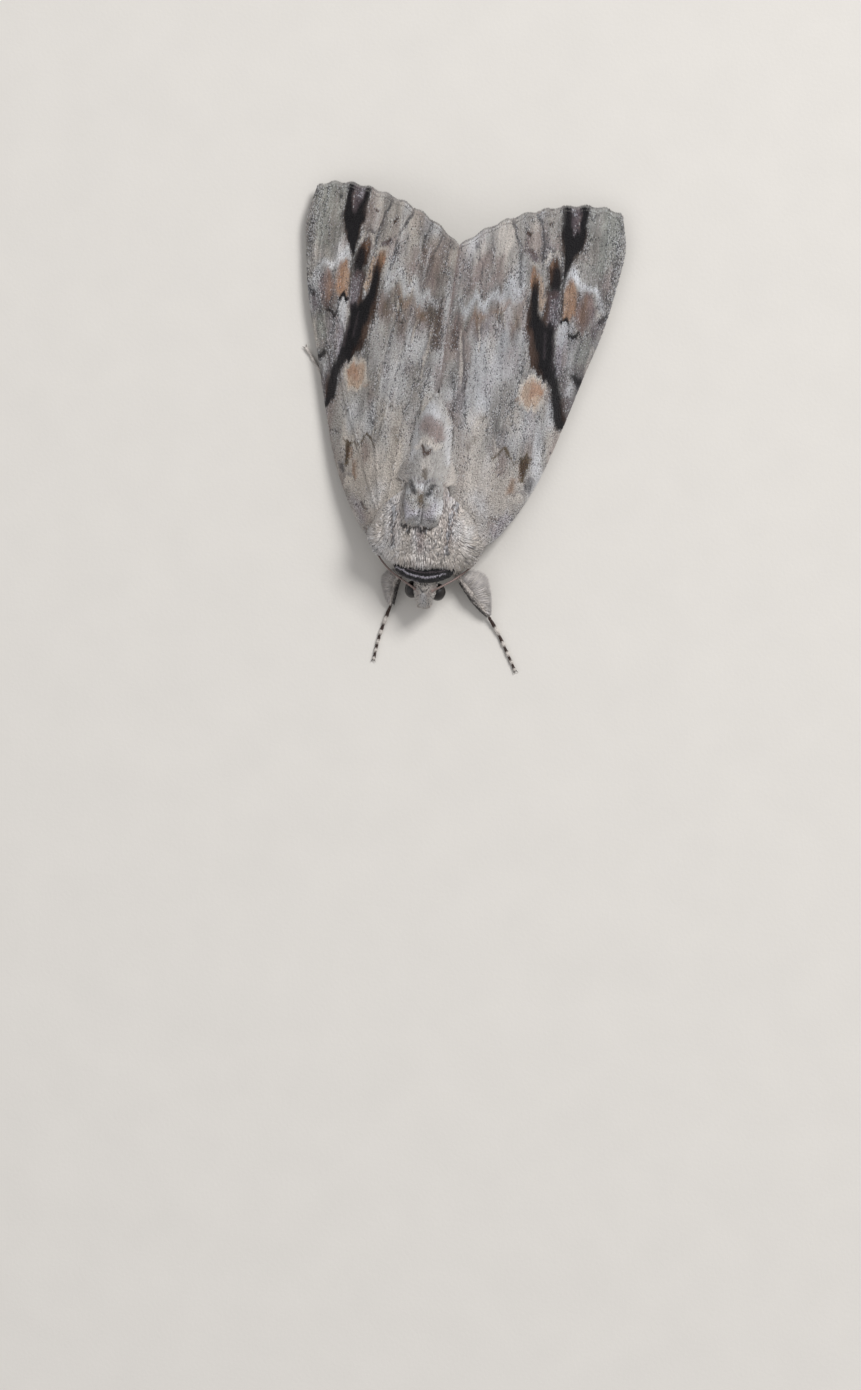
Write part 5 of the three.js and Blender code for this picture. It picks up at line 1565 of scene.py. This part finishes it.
class MOTH_OT_antennae(bpy.types.Operator):
    """Thread-like antennae of many short joints"""

    bl_idname = "moth.antennae"
    bl_label = "Antennae"

    def execute(self, context):
        colours = context.scene.moth_colours
        finish = shaded("Antenna scales", 0.6, fleck=0.15, fleck_size=0.05)
        for word, side in SIDES:
            shape = bmesh.new()
            tube(shape, antenna_path(side), antenna_radius, 4 * ANTENNA_JOINTS, 10)
            mesh = mesh_from_shape("antenna_thread_" + word, shape)
            x, y, _ = body_points(mesh).T
            paint = Paint(x, y, colours.rose, ragged=0.0)
            ring = np.sin(np.hypot(x, y) * 2 * math.pi / ANTENNA_BAND)
            paint.lay(0.45 * smooth(0.2, 0.8, ring), colours.olive)
            tint_mesh(mesh, paint.colour)
            piece_from("antenna_thread_" + word, mesh, finish, "antenna", "antenna_" + word)
        return {"FINISHED"}


# ---- Legs ----

# Centre lines of shins and feet; where the shins bear spurs, as shares of their length; how far pale
# scales cover a foot; and the fore shins' fans, whose hair turns from one bearing to the other and is
# longest at peak.
LEGS = {
    ("fore", "left"): {
        "tibia": ((4.1, 1.7, 1.55), (5.8, -0.2, 1.25), (7.55, -1.85, 0.7)),
        "tarsus": ((7.6, -1.9, 0.6), (8.9, -3.7, 0.24), (10.2, -5.8, 0.2), (11.4, -7.8, 0.2)),
        "fan": {"turn": (70, -22), "count": 4200, "root": 1.2, "full": 2.85, "end": 0.8, "peak": 0.3}},
    ("fore", "right"): {
        "tibia": ((-2.62, 1.5, 1.6), (-3.1, 0.1, 1.25), (-3.32, -1.65, 0.7)),
        "tarsus": ((-3.35, -1.8, 0.6), (-3.95, -3.9, 0.24), (-4.4, -6, 0.2), (-4.65, -8.3, 0.2)),
        "fan": {"turn": (135, 220), "count": 2600, "root": 1.0, "full": 2.0, "end": 0.7, "peak": 0.35}},
    ("mid", "left"): {
        "tibia": ((7.3, 10.05, 0.88), (8.4, 13.8, 0.7), (9.05, 17.8, 0.55)), "spurs": (0.93,),
        "tarsus": ((9.1, 17.9, 0.45), (9.9, 21, 0.2), (10.9, 24.6, 0.2))},
    ("mid", "right"): {
        "tibia": ((-7.3, 10.2, 0.88), (-9.2, 14.4, 0.7), (-11.4, 18.35, 0.5)), "spurs": (0.93,),
        "tarsus": ((-11.5, 18.45, 0.4), (-13.6, 22, 0.2), (-16.75, 26, 0.2)), "pale": 0.8},
    ("hind", "left"): {
        "tibia": ((5.05, 14.65, 0.82), (5.9, 19.6, 0.65), (6.32, 24.65, 0.5)), "spurs": (0.93, 0.6),
        "tarsus": ((6.33, 24.75, 0.4), (6.9, 28.6, 0.2), (7.7, 32.6, 0.2))},
    ("hind", "right"): {
        "tibia": ((-5.05, 14.65, 0.82), (-5.9, 19.6, 0.65), (-6.32, 24.65, 0.5)), "spurs": (0.93, 0.6),
        "tarsus": ((-6.33, 24.75, 0.4), (-6.9, 28.6, 0.2), (-7.7, 32.6, 0.2))},
}
TARSUS_JOINTS = np.array([0.0, 0.36, 0.56, 0.72, 0.86, 1.0])
LEG_SCALES = {"femur": (420, 0.5), "tibia": (640, 0.45), "tarsus": (520, 0.22)}  # number and length
LEG_STRIPS = 18  # strips of the bake map, one for each part of a leg
# A pair of spurs or claws: how far apart they start; how far ahead, outwards and up their middle and
# tip lie; their thickness, how much of it they lose towards the tip, and the steps of their shape.
SPURS = {"apart": 0.0, "middle": (0.5, 0.38, 0.0), "tip": (1.1, 0.55, -0.1), "thick": 0.1, "taper": 0.85,
         "steps": 6}
CLAWS = {"apart": 0.05, "middle": (0.2, 0.12, 0.06), "tip": (0.42, 0.2, -0.12), "thick": 0.07,
         "taper": 0.9, "steps": 8}


def tibia_radius(share):
    """Radius of a shin along its length."""
    return 0.26 + 0.14 * np.sin(math.pi * share)


def joint_place(share):
    """How far each place is along its own joint of a tarsus."""
    joint = np.clip(np.searchsorted(TARSUS_JOINTS, share, side="right") - 1, 0, 4)
    return (share - TARSUS_JOINTS[joint]) / (TARSUS_JOINTS[joint + 1] - TARSUS_JOINTS[joint])


def tarsus_radius(share):
    """Radius of a foot along its length, widest near the end of each joint."""
    place = joint_place(share)
    return (0.2 - 0.05 * share) * (0.72 + 0.36 * smooth(0.0, 0.85, place) - 0.15 * smooth(0.9, 1.0, place))


LEG_RADII = {"femur": femur_radius, "tibia": tibia_radius, "tarsus": tarsus_radius}


def leg_tint(part, share, colours, pale=0.0):
    """Bands of a leg: pale rings at the joints of a dark foot; a dusky band on thigh and shin."""
    count = len(share)
    paint = Paint(share * 5, share * 0, colours.ink if part == "tarsus" else colours.beige, ragged=0.0)
    if part == "tarsus":
        paint.lay(0.5 * np.ones(count), colours.umber)
        near = joint_place(share)
        paint.lay(smooth(0.6, 0.72, near) + smooth(0.12, 0.02, near), colours.bone)
        paint.lay(pale * np.ones(count), colours.bone)
    else:
        paint.lay(0.4 * smooth(0.35, 0.5, share) * smooth(0.7, 0.55, share), colours.slate)
        paint.lay(0.7 * smooth(0.93, 1.0, share), colours.bone)
    return paint.colour


class MOTH_OT_legs(bpy.types.Operator):
    """Shins, jointed feet, spurs and claws"""

    bl_idname = "moth.legs"
    bl_label = "Legs"

    def execute(self, context):
        colours = context.scene.moth_colours
        finish = shaded("Leg scales", 0.7, fleck=0.18, fleck_size=0.06)
        horn = shaded("Claw horn", 0.35, specular=0.5, fleck=0.2, colour=tuple(colours.claw), relief=0.1,
                      relief_size=0.05)
        for (pair, word), leg in LEGS.items():
            name = f"{pair}leg_{word}"
            shape = bmesh.new()
            tube(shape, leg["tibia"], tibia_radius, 20, 12)
            tube(shape, leg["tarsus"], tarsus_radius, 60, 12)
            for place in leg.get("spurs", ()):
                self.prongs(shape, leg["tibia"], place, SPURS)
            mesh = mesh_from_shape(name, shape)
            tint_mesh(mesh, self.tint(body_points(mesh), leg, colours))
            piece_from(name, mesh, finish, "leg", f"{pair}tibia_{word}", f"{pair}tarsus_{word}")
            shape = bmesh.new()
            self.prongs(shape, leg["tarsus"], 0.985, CLAWS)
            piece_from("claws_" + name, mesh_from_shape("claws_" + name, shape), horn, "tarsus")
        return {"FINISHED"}

    @staticmethod
    def tint(points, leg, colours):
        """Colours of a leg's vertices, from the nearest place of its centre lines."""
        share = np.linspace(0, 1, 161)
        known = np.concatenate([spline(leg[part], share) for part in ("tibia", "tarsus")])
        nearest = np.argmin(((points[:, None] - known[None]) ** 2).sum(axis=2), axis=1)
        on_tarsus = nearest >= len(share)
        place = share[nearest % len(share)]
        return np.where(on_tarsus[:, None], leg_tint("tarsus", place, colours, leg.get("pale", 0.0)),
                        leg_tint("tibia", place, colours))

    @staticmethod
    def prongs(shape, path, place, form):
        """A pair of spurs or claws that spread from a place on a leg."""
        centre, ahead, side, _ = (vectors[0] for vectors in course(path, np.array([place])))
        for turn in (1, -1):
            start = centre + turn * form["apart"] * side
            line = [start] + [start + forward * ahead + turn * out * side + (0, 0, up)
                              for forward, out, up in (form["middle"], form["tip"])]
            tube(shape, line, lambda u: form["thick"] * (1 - form["taper"] * u), form["steps"], 8)


class MOTH_OT_leg_coat(bpy.types.Operator):
    """Short scales of the legs, and the hair fans of the fore shins"""

    bl_idname = "moth.leg_coat"
    bl_label = "Leg coat"

    def execute(self, context):
        colours = context.scene.moth_colours
        rng = np.random.default_rng(21)
        finish = shaded("Leg hair", 0.75, sheen=0.15, fleck=0.12, fleck_size=0.06)
        coat = Coat()
        parts = [("femur", path, 0.0, None) for path in FEMORA.values()]
        for leg in LEGS.values():
            fan = math.radians(sum(leg["fan"]["turn"]) / 2) if "fan" in leg else None
            parts += [("tibia", leg["tibia"], 0.0, fan),
                      ("tarsus", leg["tarsus"], leg.get("pale", 0.0), None)]
        for strip, (part, path, pale, fan) in enumerate(parts):
            self.lay_scales(coat, path, part, strip, colours, rng, pale, fan)
        coat.piece("leg_scales", finish, "leg")
        fans = Coat()
        for shift, word in ((0.0, "left"), (0.5, "right")):
            self.lay_fan(fans, LEGS["fore", word], shift, colours, rng)
        fans.piece("foreleg_fans", finish, "leg")
        return {"FINISHED"}

    @staticmethod
    def lay_scales(coat, path, part, strip, colours, rng, pale, fan):
        """Scales round a leg's part; the side away from a hair fan at angle fan is painted dark, as painted
        shadow.
        """
        count, length = LEG_SCALES[part]
        share = rng.uniform(0.02, 0.98, count)
        turn = rng.uniform(0, 2 * math.pi, count)
        centre, ahead, side, over = course(path, share)
        normal = np.cos(turn)[:, None] * side + np.sin(turn)[:, None] * over
        root = centre + normal * (LEG_RADII[part](share) * 0.92)[:, None]
        stand = 0.16 if part == "tarsus" else 0.3
        colour = leg_tint(part, share, colours, pale)
        colour = colour * rng.uniform(0.75, 1.15, count)[:, None]
        if fan is not None:
            # painted shadow on the side of a shin away from its fan
            painted_shadow = smooth(0.15, -0.5, normal[:, 0] * math.cos(fan) + normal[:, 1] * math.sin(fan))
            colour += (np.array(colours.soot) - colour) * 0.9 * painted_shadow[:, None]
        across = (strip + 0.05 + 0.9 * turn / (2 * math.pi)) / LEG_STRIPS
        where = columns(across, on_map(share, 0.004))
        coat.add(root, unit(ahead + normal * stand + rng.normal(0, 0.08, (count, 3))), normal,
                 length * rng.uniform(0.7, 1.2, count), 0.3 * length, colour, where, thick=0.035,
                 bend=-0.15, form=BLADE)

    @staticmethod
    def lay_fan(coat, leg, shift, colours, rng):
        """The hair on the outer side of a fore shin, at shift on the bake map."""
        fan = leg["fan"]
        count = fan["count"]
        f = np.sort(rng.random(count))
        centre, _, _, _ = course(leg["tibia"], 0.05 + 0.88 * f)
        turn = np.radians(fan["turn"][0] + (fan["turn"][1] - fan["turn"][0]) * f + rng.normal(0, 5, count))
        near = f < fan["peak"]
        k = np.where(near, 1 - f / fan["peak"], (f - fan["peak"]) / (1 - fan["peak"]))
        low = np.where(near, fan["root"], fan["end"])
        length = fan["full"] + (low - fan["full"]) * k ** np.where(near, 1.6, 1.0)
        ahead = columns(np.cos(turn), np.sin(turn), rng.normal(-0.07, 0.08, count))
        root = centre + columns(0.0, 0.0, rng.uniform(-0.2, 0.22, count))
        paint = Paint(f * 4, f * 3, colours.bone, seed=2)
        paint.lay(rng.uniform(0, 0.6, count), colours.ash)
        paint.lay(rng.uniform(0, 0.35, count), colours.lilac)
        where = columns(0.02 + 0.44 * f + shift, rng.uniform(0.02, 0.98, count))
        coat.add(root, ahead, UP, length * rng.uniform(0.5, 1.0, count) ** 0.6,
                 rng.uniform(0.08, 0.15, count), 1.02 * paint.colour, where, thick=0.05,
                 bend=rng.uniform(-0.08, 0.02, count), root_shade=0.85)


# ---- Stage ----

IMAGE = (861, 1390)  # width and height of the rendered image in pixels
HEAD_PIXEL = (422.0, 590.0)  # where the body frame's origin falls in it
PIXEL = 0.112  # millimetres that a pixel spans at the moth
ROLL = math.radians(7.0)  # the moth's long axis leans this much clockwise in the image
SENSOR = 36.0  # width of the camera's sensor in millimetres
LAMPS = {"Key": ((0.38, 0.4, 0.56), 0.28), "Fill": ((-0.5, -0.4, 0.5), 0.5)}  # places and sizes


class MOTH_OT_stage(bpy.types.Operator):
    """Floor, lights and camera"""

    bl_idname = "moth.stage"
    bl_label = "Stage"

    def execute(self, context):
        studio = context.scene.moth_studio
        self.floor(context, studio)
        self.camera(context, studio)
        self.light(context, "Key", studio.key_power)
        self.light(context, "Fill", studio.fill_power)
        world = bpy.data.worlds.new("Room")
        world.use_nodes = True
        feed(world.node_tree, world.node_tree.nodes["Background"],
             {"Color": (0.98, 0.98, 1.0, 1.0), "Strength": studio.room_light})
        context.scene.world = world
        context.scene.view_settings.view_transform = "Standard"
        return {"FINISHED"}

    @staticmethod
    def floor(context, studio):
        """A wide pale sheet at height zero."""
        shape = bmesh.new()
        bmesh.ops.create_grid(shape, x_segments=1, y_segments=1, size=1.5)
        mesh = bpy.data.meshes.new("floor")
        shape.to_mesh(mesh)
        shape.free()
        mesh.materials.append(shaded("Floor paper", 0.9, fleck=0.015, fleck_size=6.0, relief=0.05,
                                     relief_size=0.4, colour=tuple(studio.floor)))
        floor = bpy.data.objects.new("floor", mesh)
        context.scene.collection.objects.link(floor)

    @staticmethod
    def light(context, name, power):
        """A soft lamp that points at the moth."""
        place, size = LAMPS[name]
        data = bpy.data.lights.new(name, "AREA")
        data.size = size
        data.energy = power
        lamp = bpy.data.objects.new(name, data)
        lamp.location = place
        lamp.rotation_euler = (-Vector(place)).to_track_quat("-Z", "Y").to_euler()
        context.scene.collection.objects.link(lamp)

    @staticmethod
    def camera(context, studio):
        """The camera, placed so that the moth lies in the image as IMAGE, HEAD_PIXEL and ROLL say."""
        distance = studio.camera_distance / MM
        data = bpy.data.cameras.new("Camera")
        data.sensor_width = SENSOR
        data.lens = SENSOR * distance / (PIXEL * max(IMAGE))
        data.clip_start = 0.01
        data.clip_end = 10.0
        back = Vector((LEAN, LEAN_AHEAD, 1.0)).normalized()
        over = Vector((-math.sin(ROLL), math.cos(ROLL), 0.0))
        over = (over - back * over.dot(back)).normalized()
        right = over.cross(back)
        across = (HEAD_PIXEL[0] - IMAGE[0] / 2) * PIXEL
        above = (IMAGE[1] / 2 - HEAD_PIXEL[1]) * PIXEL
        head = Vector((0.0, 0.0, LEAN_FROM))
        place = head + back * distance - right * across - over * above
        camera = bpy.data.objects.new("Camera", data)
        turned = Matrix((right, over, back)).transposed().to_4x4()
        camera.matrix_world = Matrix.Translation(Vector(placed(place))) @ turned
        context.scene.collection.objects.link(camera)
        context.scene.camera = camera


class MOTH_PT_panel(bpy.types.Panel):
    """Lists the moth's pieces in the sidebar"""

    bl_idname = "MOTH_PT_panel"
    bl_label = "Moth"
    bl_space_type = "VIEW_3D"
    bl_region_type = "UI"
    bl_category = "Moth"

    def draw(self, context):
        for group in (context.scene.moth_sizes, context.scene.moth_colours, context.scene.moth_studio):
            box = self.layout.box()
            for name in group.__annotations__:
                box.prop(group, name)
        for step in STEPS:
            self.layout.operator(step.bl_idname)


GROUPS = {"moth_sizes": MothSizes, "moth_colours": MothColours, "moth_studio": MothStudio}
STEPS = (MOTH_OT_stage, MOTH_OT_skin, MOTH_OT_forewings, MOTH_OT_hindwings, MOTH_OT_wing_scales,
         MOTH_OT_thorax_coat, MOTH_OT_abdomen_coat, MOTH_OT_head_coat, MOTH_OT_eyes, MOTH_OT_antennae,
         MOTH_OT_legs, MOTH_OT_leg_coat)


def register():
    """Registers settings, operators and the panel."""
    for group in (*GROUPS.values(), *STEPS, MOTH_PT_panel):
        bpy.utils.register_class(group)
    for name, group in GROUPS.items():
        setattr(bpy.types.Scene, name, PointerProperty(type=group))


def unregister():
    """Takes settings, operators and the panel away again."""
    for name in GROUPS:
        delattr(bpy.types.Scene, name)
    for group in (MOTH_PT_panel, *reversed(STEPS), *GROUPS.values()):
        bpy.utils.unregister_class(group)


def main():
    """Builds the moth and its stage."""
    register()
    for step in STEPS:
        group, name = step.bl_idname.split(".")
        getattr(getattr(bpy.ops, group), name)()


if __name__ == "__main__":
    main()
